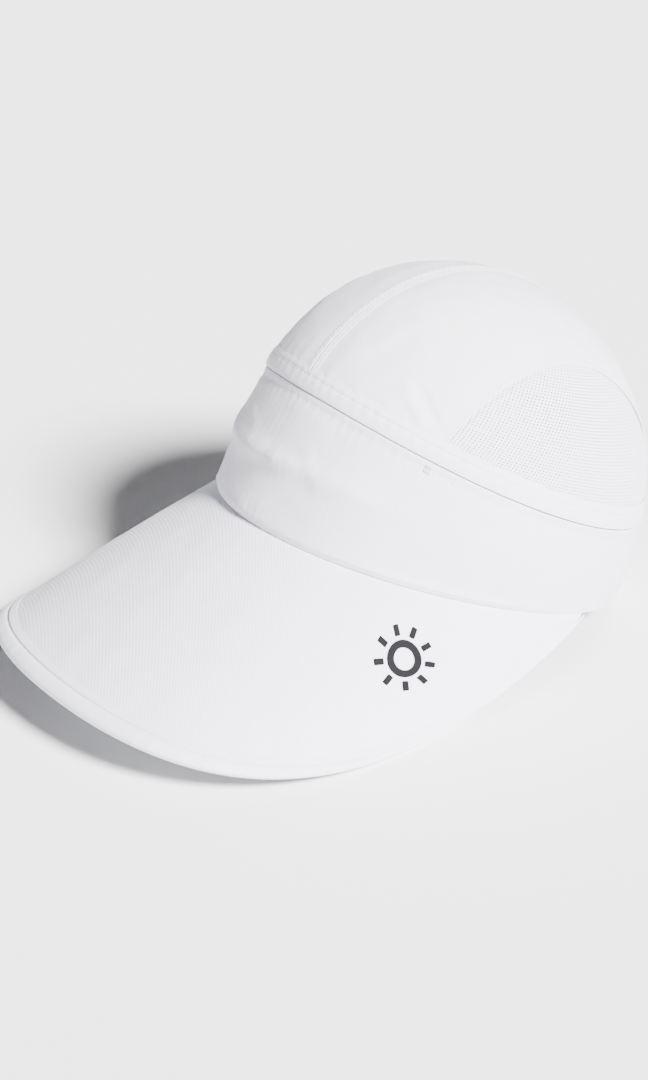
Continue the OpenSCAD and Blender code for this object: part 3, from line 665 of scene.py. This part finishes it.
# Bias binding over the notch's edge
notch_phi = 180 - (notch_half - 0.35) * cos_d(np.linspace(4, 176, 121))
edge_z = notch_edge(notch_phi)
cup = [(4.2, -0.12), (4.0, -0.36), (2.2, -0.42), (0.4, -0.42), (-0.35, -0.1), (-0.62, 0.9),
       (-0.62, 1.8), (-0.3, 2.75), (0.5, 3.0), (2.2, 3.0), (3.4, 2.98), (3.6, 2.86)]
up = unit(np.gradient(np.stack([np.radians(notch_phi) * rear_r, edge_z], -1), axis=0))
side_a, side_z = -up[:, 1], up[:, 0]


def notch_at(rise):
    return notch_phi + np.degrees(side_a * rise / rear_r), edge_z + side_z * rise


def notch_pt(rise, depth):
    return band_pt(*notch_at(rise), depth)


outer = np.stack([notch_pt(r, d) for r, d in cup], 1)
inner = np.stack([notch_pt(r + (0.3 if r < 0.5 else 0), lerp(d, 1.3, 0.12)) for r, d in cup], 1)
dress(ribbon("notch_binding", outer, inner, edge=0.1), "visor", "tape_weave", "band_cloth")

# ---- crown ----
def crown_relief(phi, s, h):
    """How far the crown's cloth stands off; the deepest crease is on the wearer's left only."""
    p = crown_pt(phi, s)
    u, v, z = p[..., 0], p[..., 1], p[..., 2]
    calm = smooth((np.abs(u) - 4) / 9) * smooth((h - 3) / 10)
    arc = np.radians(np.abs(np.degrees(np.arctan2(u, -v)))) * crown_r
    by_hem = near(np.maximum(0, h - 7), 0, 7)
    pucker = 0.12 * sine(arc, 7.5, 1.3 * ripple(u, v, 31, 30)) * by_hem * smooth((h - 6) / 2)
    dents = (-1.1 * ridge(phi, h, (48, 11), (34, 27), 2.0) + 1.0 * ridge(phi, h, (44, 9), (30, 25), 2.6)
             - 0.6 * ridge(phi, h, (14, 12), (28, 44), 4.0) + 0.5 * ridge(phi, h, (-22, 20), (-40, 56), 5.0))
    return calm * (0.55 * ripple(u, v + 0.7 * z, 33, 64) + 0.12 * ripple(u, v + z, 34, 13) + dents) + pucker


def azimuthal(phi, s):
    out = (1 - s) * crown_arc
    return np.stack([out * sin_d(phi), -out * cos_d(phi)], -1)


for side, label in ((1, "left"), (-1, "right")):
    low = np.maximum(mesh_share(panel), crown_share(panel, tape_edge))
    k = np.concatenate([[0, 0.008, 0.02], np.linspace(0.045, 1, 62)])
    s = lerp(low[:, None], 0.985, k[None, :])
    a = side * panel[:, None]
    h = crown_pt(a, s)[..., 2] - zip_h(a)
    lift = crown_relief(a, s, h)
    over_insert = (mesh_share(panel) > crown_share(panel, 9.0))[:, None]
    lift = lift + 0.12 * (near((s - low[:, None]) * crown_arc, 0, 2.6) * over_insert)
    piece = ribbon(f"crown_cloth_{label}", crown_pt(a, s, -lift), crown_pt(a, s, cloth_t - lift),
                   uv=azimuthal(a, s), edge=0.2)
    dress(piece, "crown", "crown_weave", "crown_cloth", f"crown_{label}_panel")

# Hem over the zip, pulled in where it is stitched and merging into the crown above
profile = np.array([(0.62, 0.62), (0.66, 0.85), (0.95, 1.02), (1.6, 1.08), (2.6, 1.1), (3.8, 1.08),
                    (5.0, 1.02), (5.9, 0.9), (6.4, 0.66), (6.7, 0.52), (7.0, 0.66), (7.5, 0.74),
                    (8.2, 0.66), (9.0, 0.42), (9.8, 0.16), (10.4, 0.06)])
a = around[:, None]
hs, out = profile[None, :, 0], profile[None, :, 1]
u = np.radians(a) * crown_r
waves = 0.13 * sine(u, 5.8, 1.1 * ripple(u, 0 * u, 41, 34)) * near(hs, 6, 3) + 0.2 * ripple(u, hs * 3, 42, 60)
sink = 0.3 * (smooth((140 - np.abs(a)) / 20) * np.clip((3 - hs) / 2.4, 0, 1))
outer = crown_at(a, hs - sink + 0.12 * ripple(u, 0 * u, 43, 70) * (hs > 6), -(out + waves))
inner = crown_at(a, hs - sink, -np.minimum(0.18, out - 0.05) * np.ones_like(a))
hem_uv = np.stack(np.broadcast_arrays(np.radians(np.append(around, 180)[:, None]) * crown_r, hs), -1)
dress(ribbon("zip_hem", outer, inner, closed=True, uv=hem_uv, edge=0.12),
      "crown", "crown_weave", "crown_cloth", "crown_hem")

# Centre seam: the two panels turned over it, from the hem over the top to the hem behind
to_left = np.array([1.0, 0, 0])
front_line = crown_pt(0.0, np.linspace(crown_share(0.0, 8.2), 0.97, 150))
rear_line = crown_pt(180.0, np.linspace(0.97, crown_share(180.0, 8.2), 130))
spine = np.concatenate([front_line, np.linspace(front_line[-1], rear_line[0], 9)[1:-1], rear_line])
out_of = unit(np.cross(to_left, unit(np.gradient(spine, axis=0))))
level = np.abs(out_of[:, 2:]) < 0.2
out_of = out_of * np.sign(out_of[:, 2:] + 1e-9 + np.where(level, out_of[:, 1:2] * np.sign(spine[:, 1:2]), 0))
across = np.array([0, 0.12, 0.35, 0.7, 1.1, 1.5, 1.75, 2.0, 2.3, 2.7, 3.1, 3.6])
across = np.concatenate([-across[:0:-1], across])
tall = np.array([0.12, 0.18, 0.36, 0.5, 0.5, 0.34, 0.2, 0.24, 0.32, 0.3, 0.18, 0.03])
tall = np.concatenate([tall[:0:-1], tall])
side_bend = 62.0
seam_step = run(spine)
seam_wave = 0.05 * sine(seam_step, 6.2, ripple(seam_step, 0 * seam_step, 51, 30))


def seam_pt(x, rise):
    x, rise = np.broadcast_arrays(x, rise)
    return (spine[:, None] + to_left * x[..., None]
            + out_of[:, None] * (rise - x * x / (2 * side_bend))[..., None])


spread = (1 + 0.02 * ripple(seam_step, 0 * seam_step, 52, 25))[:, None]
outer = seam_pt(across[None, :] * spread, tall[None, :] + seam_wave[:, None] * (tall > 0.1))
inner = seam_pt(across[None, :], np.full((1, len(across)), -0.25))
seam_uv = np.stack(np.meshgrid(seam_step, across, indexing="ij"), -1)[..., ::-1]
dress(ribbon("crown_seam", outer, inner, edge=0.05, uv=seam_uv), "crown", "crown_weave", "crown_cloth")

tape_rows = np.linspace(-5, 5, 9)[None, :]
outer, inner = (seam_pt(tape_rows, np.full((1, 9), rise)) for rise in (-0.95, -1.35))
dress(ribbon("crown_inside_tape", outer, inner, edge=0.1),
      "crown", "tape_weave", "seam_tape", "crown_center_tape")


# ---- mesh inserts ----
def insert_at(xy):
    """Angle and share of the insert's points, from millimetres along it and up it; the knit stays regular."""
    s = xy[:, 1] / crown_arc
    out = cos_d(90 * np.clip(s, 0, 0.9)) ** 1.1
    return mesh_middle + np.degrees(xy[:, 0] / (crown_r * out)), s


pitch = 1.55
row_step = pitch * 0.866
corner_turn = [math.radians(30 + 60 * k) for k in range(6)]
hexes = np.array([(math.cos(turn), math.sin(turn)) for turn in corner_turn])
cells = np.array([((c + 0.5 * (r % 2)) * pitch, r * row_step + 0.4)
                  for r in range(int(70 / row_step) + 1) for c in range(-56, 57)])
phi, s = insert_at(cells)
inside = ((np.abs(phi - mesh_middle) < mesh_half - 0.2) & (s < mesh_share(phi) + 0.014)
          & (s > crown_share(phi, 2.2)))
cells = cells[inside]
for side, label in ((1, "left"), (-1, "right")):
    outer_xy = cells[:, None] + hexes[None] * pitch / math.sqrt(3)
    keys = np.round(outer_xy.reshape(-1, 2) * 200).astype(int)
    unique, index = np.unique(keys, axis=0, return_inverse=True)
    index = index.reshape(-1)
    corner = np.zeros((len(unique), 2))
    corner[index] = outer_xy.reshape(-1, 2)
    rng = np.random.default_rng(61)
    size = 0.215 * pitch * rng.uniform(0.9, 1.1, (len(cells), 1, 1))
    hole = (cells[:, None] + hexes[None] * size + rng.uniform(-0.03, 0.03, (len(cells), 6, 2))).reshape(-1, 2)
    flat = np.concatenate([corner, hole])
    phi, s = insert_at(flat)
    from_edge = (mesh_share(np.clip(phi, arch[0], arch[-1])) - s) * crown_arc
    depth = 0.15 + 0.45 * smooth((3.2 - from_edge) / 2.4)
    fold = 0.4 * ripple(flat[:, 0], flat[:, 1], 62, 46) * smooth((from_edge - 3) / 9)
    bulge = np.zeros(len(flat))
    bulge[:len(corner)] = 0.05
    front = crown_pt(side * phi, s, depth - fold - bulge)
    back = crown_pt(side * phi, s, depth - fold + 0.38 + bulge)
    n = len(flat)
    points = np.concatenate([front, back])
    j = np.arange(6)
    k = (j + 1) % 6
    oc = index.reshape(-1, 6)
    ih = len(corner) + np.arange(len(cells) * 6).reshape(-1, 6)
    fr = np.stack([oc[:, j], oc[:, k], ih[:, k], ih[:, j]], -1).reshape(-1, 4)
    bk = np.stack([oc[:, j], ih[:, j], ih[:, k], oc[:, k]], -1).reshape(-1, 4) + n
    wall = np.stack([ih[:, j], ih[:, k], ih[:, k] + n, ih[:, j] + n], -1).reshape(-1, 4)
    directed = np.stack([oc[:, j], oc[:, k]], -1).reshape(-1, 2)
    _, first, times = np.unique(np.sort(directed, axis=1), axis=0, return_index=True, return_counts=True)
    rim = directed[first[times == 1]]
    close = np.stack([rim[:, 1], rim[:, 0], rim[:, 0] + n, rim[:, 1] + n], -1)
    quads = np.concatenate([fr, bk, wall, close])
    uv_all = np.concatenate([flat, flat])
    piece = build(f"mesh_knit_{label}", points, [quads], [uv_all[quads]], 60)
    dress(piece, "crown", "knit", "mesh_knit", f"mesh_{label}")
    own = arch[14:-14]
    a = side * own[:, None]
    s = mesh_share(own)[:, None] + np.linspace(-0.028, 0.028, 7)[None, :]
    dress(ribbon(f"mesh_inside_tape_{label}", crown_pt(a, s, 1.1), crown_pt(a, s, 1.5), edge=0.1),
          "crown", "tape_weave", "seam_tape", f"mesh_tape_{label}")

# ---- zip ----
tape_phi = np.linspace(-178.5, 178.5, 401)[:, None]
flat = np.linspace(0, 1, 9)[None, :]
bead = 0.25 * near(flat * tape_w, 0, 0.7)
outer = crown_at(tape_phi, tape_edge + flat * tape_w, tape_in - bead)
inner = crown_at(tape_phi, tape_edge + flat * tape_w, tape_in + cloth_t + 0 * tape_phi)
dress(ribbon("zip_tape_upper", outer, inner, edge=0.12), "crown", "tape_weave", "zip_tape", "upper_zip_tape")
down = zip_h(tape_phi) - tape_edge - flat * tape_w
outer, inner = band_pt(tape_phi, down, tape_in - bead), band_pt(tape_phi, down, tape_in + cloth_t)
dress(ribbon("zip_tape_lower", outer, inner, edge=0.12), "visor", "tape_weave", "zip_tape", "lower_zip_tape")


def opened(phi):
    return lerp(0.7, 0.15, smooth((180 - np.abs(phi) - 36) / 14))


teeth = np.linspace(-176.8, 172.5, 270)
rise = opened(teeth) + tooth_rise
upper = crown_at(teeth, rise, teeth_in + tooth_d / 2)
ahead = unit(crown_at(teeth + 0.2, rise, teeth_in) - crown_at(teeth - 0.2, rise, teeth_in))
beads("zip_teeth_upper", upper, ahead, np.cross(ahead, normal_of(crown_at, teeth, 2.0)), tooth_size,
      "crown", "zip_nylon", "zip_teeth", "upper_zip_teeth")
low_teeth = teeth + (teeth[1] - teeth[0]) / 2
low_teeth = low_teeth[low_teeth < 172.5]
lower = band_pt(low_teeth, zip_h(low_teeth) - opened(low_teeth) - tooth_rise, teeth_in + tooth_d / 2)
after, before = (band_pt(a, zip_h(a) - 1.0, teeth_in) for a in (low_teeth + 0.2, low_teeth - 0.2))
ahead = unit(after - before)
out_n = normal_of(band_pt, low_teeth, zip_h(low_teeth) - 1.0)
beads("zip_teeth_lower", lower, ahead, np.cross(ahead, out_n), tooth_size,
      "visor", "zip_nylon", "zip_teeth", "lower_zip_teeth")

# CAD nodes that are shown as they are
for finish, nodes in (("zip_nylon", ("zip_pin", "zip_box")), ("board", ("brim_core",)),
                      ("painted_metal", ("upper_zip_stop", "lower_zip_stop", "slider_body", "pull_tab"))):
    for node in nodes:
        mesh = frame["nodes"][node].data
        count = max(1, len(mesh.materials))
        mesh.materials.clear()
        for _ in range(count):
            mesh.materials.append(materials[finish])

# ---- brim ----
stations = np.linspace(-brim_end, brim_end, 321)
t = stations[:, None]


def brim_sheet(name, depth, material, node, count, sign, seed):
    length = brim_length(stations)[:, None]
    u = np.linspace(0, 1, count)[None, :] * (1 - 0.9 / length)
    face = brim_face(t, u)
    x, y = face[..., 0], face[..., 1]
    calm = smooth(u * length / 12) * smooth((1 - u) * length / 16)
    lift = calm * (0.28 * ripple(x, y, seed, 70) + 0.07 * ripple(x, y, seed + 1, 15))
    seam = 0.42 * near(u * length, 0, 1.8)
    outer = brim_pt(t, u, depth - sign * (lift - seam))
    inner = brim_pt(t, u, depth + cloth_t * sign)
    ribs = np.stack([rib_x * x + rib_y * y, rib_y * x - rib_x * y], -1)
    dress(ribbon(name, outer, inner, uv=ribs, edge=0.1), "visor", material, "brim_cloth", node)


brim_sheet("brim_top", 0.0, "brim_weave", "brim_top_fabric", 56, 1, 71)
brim_sheet("brim_under", brim_t, "under_weave", "brim_under_fabric", 40, -1, 75)

# Rolled edge: cloth turned over the board, stitched 7 mm in
roll = np.array([(11.0, -0.06), (10.2, -0.2), (9.0, -0.4), (8.0, -0.62), (7.5, -0.56), (7.15, -0.16), (6.9, 0.0),
                 (6.65, -0.16), (6.2, -0.62), (5.6, -0.86), (4.4, -1.05), (3.0, -1.1), (1.8, -0.95), (0.9, -0.6),
                 (0.25, -0.05), (-0.05, 0.7), (-0.1, 1.5), (-0.05, 2.3), (0.25, 3.05), (0.9, 3.5), (1.8, 3.72),
                 (3.0, 3.78), (4.4, 3.74), (5.6, 3.62), (6.3, 3.45), (6.7, 3.2), (6.9, 3.12), (7.1, 3.2),
                 (7.45, 3.42), (8.0, 3.5), (9.0, 3.42), (10.2, 3.25), (11.0, 3.08)])
ends = np.linspace(-binding_end, binding_end, 441)
e = ends[:, None]
inward, depth = roll[None, :, 0], roll[None, :, 1]
step = run(brim_edge(ends))[:, None]
soft = smooth((7 - inward) / 2) * smooth(inward / 0.8)
side_of = np.where(depth < 1.5, -1.0, 1.0)
bumpy = 0.1 * ripple(step, 0 * inward, 81, 9, 2) * soft + 0.06 * sine(step, 6.4) * near(inward, 6.2, 1.6)
ease = smooth((brim_length(ends) - 8) / 16)[:, None]
width = lerp(0.45, 1.0, ease)
outer = rim_pt(e, inward * width, lerp(np.clip(depth, -0.35, 3.35), depth, ease) + side_of * bumpy)
inner_depth = np.where(depth < 1.5, np.maximum(depth + 0.4, -0.02), np.minimum(depth - 0.4, 3.02))
inner = rim_pt(e, np.maximum(inward * width, 0.35), inner_depth)
roll_uv = np.stack(np.broadcast_arrays(step, run(roll)[None, :]), -1)
dress(ribbon("brim_rolled_edge", outer, inner, uv=roll_uv, edge=0.06),
      "visor", "brim_weave", "brim_cloth", "brim_edge_binding")


# ---- emblem: a ring with rays ----
def sun_pt(line, depth):
    """Points of the brim from millimetres across and along it, about the emblem's middle."""
    x, y = line[:, 0], line[:, 1]
    t0, u0, e = 0.575, 0.36, 0.01
    along = (brim_face(t0 + e, u0) - brim_face(t0 - e, u0)) / (2 * e)
    down = (brim_face(t0, u0 + e) - brim_face(t0, u0 - e)) / (2 * e)
    slant = along @ unit(down)
    square = np.linalg.norm(along - slant * unit(down))
    return brim_pt(t0 + x / square, u0 + (y - x * slant / square) / np.linalg.norm(down), depth)


sun_r = 14.0
ray_half, ray_corner, rays = 0.09 * sun_r, 0.35, 9
turn = np.linspace(0, 2 * math.pi, 97)[:-1]
circle = np.stack([np.cos(turn), np.sin(turn)], -1)
shapes = [(0.56 * sun_r * circle, 0.34 * sun_r * circle, True)]
rounding = np.array([0, 30, 60, 90])
r = np.concatenate([0.68 * sun_r + ray_corner * (1 - cos_d(rounding)),
                    sun_r - ray_corner * (1 - cos_d(rounding[::-1]))])
w = np.concatenate([ray_half - ray_corner * (1 - sin_d(turned)) for turned in (rounding, rounding[::-1])])
for k in range(1, rays + 1):
    a = math.radians(k * 360 / rays + 90)
    way, cross = np.array([math.cos(a), math.sin(a)]), np.array([-math.sin(a), math.cos(a)])
    shapes.append((way * r[:, None] + cross * w[:, None], way * r[:, None] - cross * w[:, None], False))
points, faces, count = [], [], 0
for a_line, b_line, closed in shapes:
    n = len(a_line)
    points += [sun_pt(line, d) for d in (-0.38, -0.1) for line in (a_line, b_line)]
    ta, tb, ba, bb = (count + k * n + np.arange(n) for k in range(4))
    i = np.arange(n if closed else n - 1)
    j = (i + 1) % n
    faces += [np.stack([ta[i], ta[j], tb[j], tb[i]], -1), np.stack([ba[i], bb[i], bb[j], ba[j]], -1),
              np.stack([ta[j], ta[i], ba[i], ba[j]], -1), np.stack([tb[i], tb[j], bb[j], bb[i]], -1)]
    if not closed:
        faces.append(np.array([[ta[0], tb[0], bb[0], ba[0]], [tb[-1], ta[-1], ba[-1], bb[-1]]]))
    count += 4 * n
dress(build("sun_emblem", np.concatenate(points), [np.concatenate(faces)], None, 30),
      "visor", "emblem_film", "emblem_film", "emblem")


# ---- rear adjuster ----
def strap(name, start, end, depth, t, low, high, body, material, slot, node, count=60, sag=0.12):
    angle = np.linspace(start, end, count)
    d = depth(angle) if callable(depth) else np.full(count, depth)
    z = np.concatenate([[low, low + 0.15, low + 0.5], np.linspace(low + 1.2, high - 1.2, 9),
                        [high - 0.5, high - 0.15, high]])
    round_off = np.array([0.22, 0.06, 0] + [0] * 9 + [0, 0.06, 0.22])[None, :]
    phi = (180 - angle)[:, None]
    arc = np.radians(angle)[:, None] * rear_r
    wob = sag * ripple(arc, z[None, :], 91, 26)
    outer = band_pt(phi, z[None, :], d[:, None] + round_off + wob * 0.5)
    inner = band_pt(phi, z[None, :], d[:, None] + t - round_off + wob * 0.5)
    dress(ribbon(name, outer, inner, edge=0.12), body, material, slot, node)


def tab_depth(angle):
    """The right tab starts under the tail and slips behind the band."""
    return lerp(tail_in, tuck_in, smooth((-10.9 - angle) / (notch_half - 11.7)))


strap("strap_webbing_left", notch_half + 12, -9, tuck_in, strap_t, strap_low, strap_top,
      "visor", "strap_weave", "strap_webbing", "strap_left")
strap("loop_tape", 15, -7, loop_in, patch_t, strap_low + 1, strap_top - 1,
      "visor", "loop_pile", "loop_tape", "loop_patch", count=40, sag=0.0)
strap("strap_webbing_right", -10.9, -notch_half - 12, tab_depth, strap_t, strap_low, strap_top,
      "visor", "strap_weave", "strap_webbing", "strap_right", count=70, sag=0.05)
strap("strap_tail_webbing", 15, -10.5, tail_in, strap_t, tail_low, tail_high,
      "strap_tail", "strap_weave", "strap_webbing", "strap_tail", sag=0.05)
strap("hook_tape", 13, -5, hook_in, patch_t, tail_low + 0.8, tail_high - 0.8,
      "strap_tail", "hook_rows", "hook_tape", "hook_patch", count=40, sag=0.0)

# Label inside, behind the wearer's left ear
middle, half = 150.0, 14 / 2 / band_ry * 57.3
phi = np.linspace(middle - half, middle + half, 25)[:, None]
z = np.linspace(12, 28, 17)[None, :]
wob = 0.1 * ripple(np.radians(phi - middle) * label_r, z, 95, 12)
outer, inner = (band_pt(phi, z, sweat_in + sweat_t + off + wob) for off in (1.0, 1.45))
dress(ribbon("blank_label", outer, inner, edge=0.12), "visor", "label_satin", "label_cloth", "size_label")

# ---- stitching ----
def on_band(phi, z, depth, inside=False):
    n = normal_of(band_pt, phi, z)
    return band_pt(phi, z, depth), -n if inside else n


line, hem_n = crown_at(around, hem_row, -0.5), normal_of(crown_at, around, hem_row)
stitches("hem_stitches", [tuple(np.concatenate([v, v[:1]]) for v in (line, hem_n))], "crown", seed=2)

full = np.linspace(-180, 180, 481)
z = zip_h(full) - zip_row
stitches("zip_line_stitches", [on_band(full, z, -(band_relief(full, z) - 0.36))], "visor", seed=3)

# Bar tack: a block of close stitches below the zip, near the front left
tack = []
for tack_phi in np.linspace(45.2, 46.8, 6):
    a = np.full(14, tack_phi)
    z = zip_h(a) - np.linspace(1.0, 5.2, 14)
    tack.append(on_band(a, z, -0.42 - band_relief(a, z)))
stitches("bar_tack", tack, "visor", length=2.3, pitch=2.1, radius=0.2, seed=12)

rows_seam = [(seam_pt(np.array([[x]]), 0.2 + seam_wave[:, None] * 0.5)[:, 0], out_of) for x in (-seam_row, seam_row)]
stitches("centre_seam_stitches", rows_seam, "crown", seed=4)

lines = []
own = arch[5:-5]
for side in (1, -1):
    a, s = side * own, mesh_share(own) + insert_row / crown_arc
    h = crown_pt(a, s)[..., 2] - zip_h(own)
    keep = h > 9.5
    p = crown_pt(a, s, -crown_relief(a, s, h) - 0.17)
    n = unit(np.cross(crown_pt(a + 0.3, s) - crown_pt(a - 0.3, s), crown_pt(a, s + 0.003) - crown_pt(a, s - 0.003)))
    lines.append((p[keep], n[keep]))
stitches("insert_stitches", lines, "crown", length=1.9, pitch=2.4, radius=0.15, seed=5)

mid = np.linspace(-0.955, 0.955, 400)
mid = mid[brim_length(mid) > 16]
top_n = -brim_inward(mid, 1 - 7 / brim_length(mid))
lines = [(rim_pt(mid, brim_row, np.full(len(mid), d)), n) for d, n in ((-0.02, top_n), (brim_t + 0.12, -top_n))]
stitches("brim_stitches", lines, "visor", length=2.2, pitch=2.7, seed=6)

s_phi = np.linspace(-reach + 1, reach - 1, 400)
lines = [on_band(s_phi, np.full(400, z), sweat_in + sweat_t - 0.2, True) for z in sweat_rows]
stitches("sweatband_stitches", lines, "visor", seed=7)
lab = np.linspace(middle - half + 0.5, middle + half - 0.5, 20)
stitches("label_stitches", [on_band(lab, np.full(20, 27.0), sweat_in + sweat_t + 1.45, True)], "visor",
         length=1.4, pitch=1.9, radius=0.12, seed=8)
notch_n = normal_of(band_pt, *notch_at(notch_row))
stitches("notch_stitches", [(notch_pt(notch_row, -0.42)[3:-3], notch_n[3:-3])], "visor",
         length=1.8, pitch=2.3, radius=0.14, seed=9)


def box_lines(a0, a1, z0, z1, depth):
    """A stitched box with one diagonal."""
    corners = ((a0, z0), (a1, z0), (a1, z1), (a0, z1), (a0, z0), (a1, z1))
    share = np.linspace(0, 1, 12)
    return [on_band(180 - lerp(p[0], q[0], share), lerp(p[1], q[1], share), depth)
            for p, q in zip(corners, corners[1:])]


stitches("tail_stitches", box_lines(12.2, -4.2, 4.6, 10.9, tail_in + 0.02), "strap_tail",
         length=1.5, pitch=2.0, radius=0.13, seed=10)
lines = [(crown_at(around, h, tape_in + cloth_t + 0.02), -normal_of(crown_at, around, h)) for h in (8.6, hem_row)]
stitches("tape_stitches", lines, "crown", seed=11)

# ---- floor, light and camera ----
bpy.ops.mesh.primitive_plane_add(size=40, location=(0, 0, -0.0004))
floor = bpy.context.object
floor.name = "floor"
# The paper's second colour is painted shade in the hollows of its grain
shade("floor_paper", (0.97, 0.97, 0.97), (0.96, 0.96, 0.96), grain(30.0),
      rough=0.95, gloss=0.1, bump=0.02, relief=0.0001, mottle=2.0)
floor.data.materials.append(materials["floor_paper"])

# The camera looks from the hat's front left, as in the photograph; lengths here are metres
turned, raised, distance = math.radians(52.88), math.radians(27.83), 1.4
back = Vector((math.sin(turned) * math.cos(raised), -math.cos(turned) * math.cos(raised), math.sin(raised)))
right = Vector((math.cos(turned), math.sin(turned), 0))
hat = Vector(origin)
eye = hat + back * distance
aim = hat - right * 0.0418 - back.cross(right) * 0.0017
camera = bpy.data.cameras.new("camera")
camera.lens, camera.sensor_width = 105.4, 36
camera.clip_start, camera.clip_end = 0.05, 30
viewer = bpy.data.objects.new("camera", camera)
viewer.location = eye
viewer.rotation_mode = "QUATERNION"
viewer.rotation_quaternion = (aim - eye).to_track_quat("-Z", "Y")
bpy.context.scene.collection.objects.link(viewer)
bpy.context.scene.camera = viewer


def soft_light(name, way, spread, strength, colour):
    """Light from far away, so that the floor is even; spread is how wide the source looks, in degrees."""
    lamp = bpy.data.lights.new(name, "SUN")
    lamp.angle, lamp.energy, lamp.color = math.radians(spread), strength, colour
    holder = bpy.data.objects.new(name, lamp)
    holder.location = hat + way.normalized() * 2
    holder.rotation_mode = "QUATERNION"
    holder.rotation_quaternion = (-way).normalized().to_track_quat("-Z", "Y")
    bpy.context.scene.collection.objects.link(holder)


soft_light("key", Vector((1.0, 0.14, 0.8)), 15, 20.0, (0.99, 0.985, 1.0))
soft_light("top", Vector((0, 0, 1)) - right * 0.1 + back * 0.25, 90, 0.2, (0.95, 0.95, 1.0))

# Sky: a bright band at the horizon, so that low views have a pale backdrop, and dim above it
world = bpy.data.worlds.new("studio")
world.use_nodes = True
sky = world.node_tree
way = sky.nodes.new("ShaderNodeSeparateXYZ")
sky.links.new(sky.nodes.new("ShaderNodeTexCoord").outputs["Generated"], way.inputs[0])
height = grow(sky, "ShaderNodeMapRange", Value=way.outputs[2])
for key, value in (("From Min", 0.11), ("From Max", 0.19), ("To Min", 2.3), ("To Max", 0.03)):
    height.inputs[key].default_value = value
sky.nodes["Background"].inputs[0].default_value = (0.97, 0.97, 1.0, 1)
sky.links.new(height.outputs[0], sky.nodes["Background"].inputs[1])
bpy.context.scene.world = world
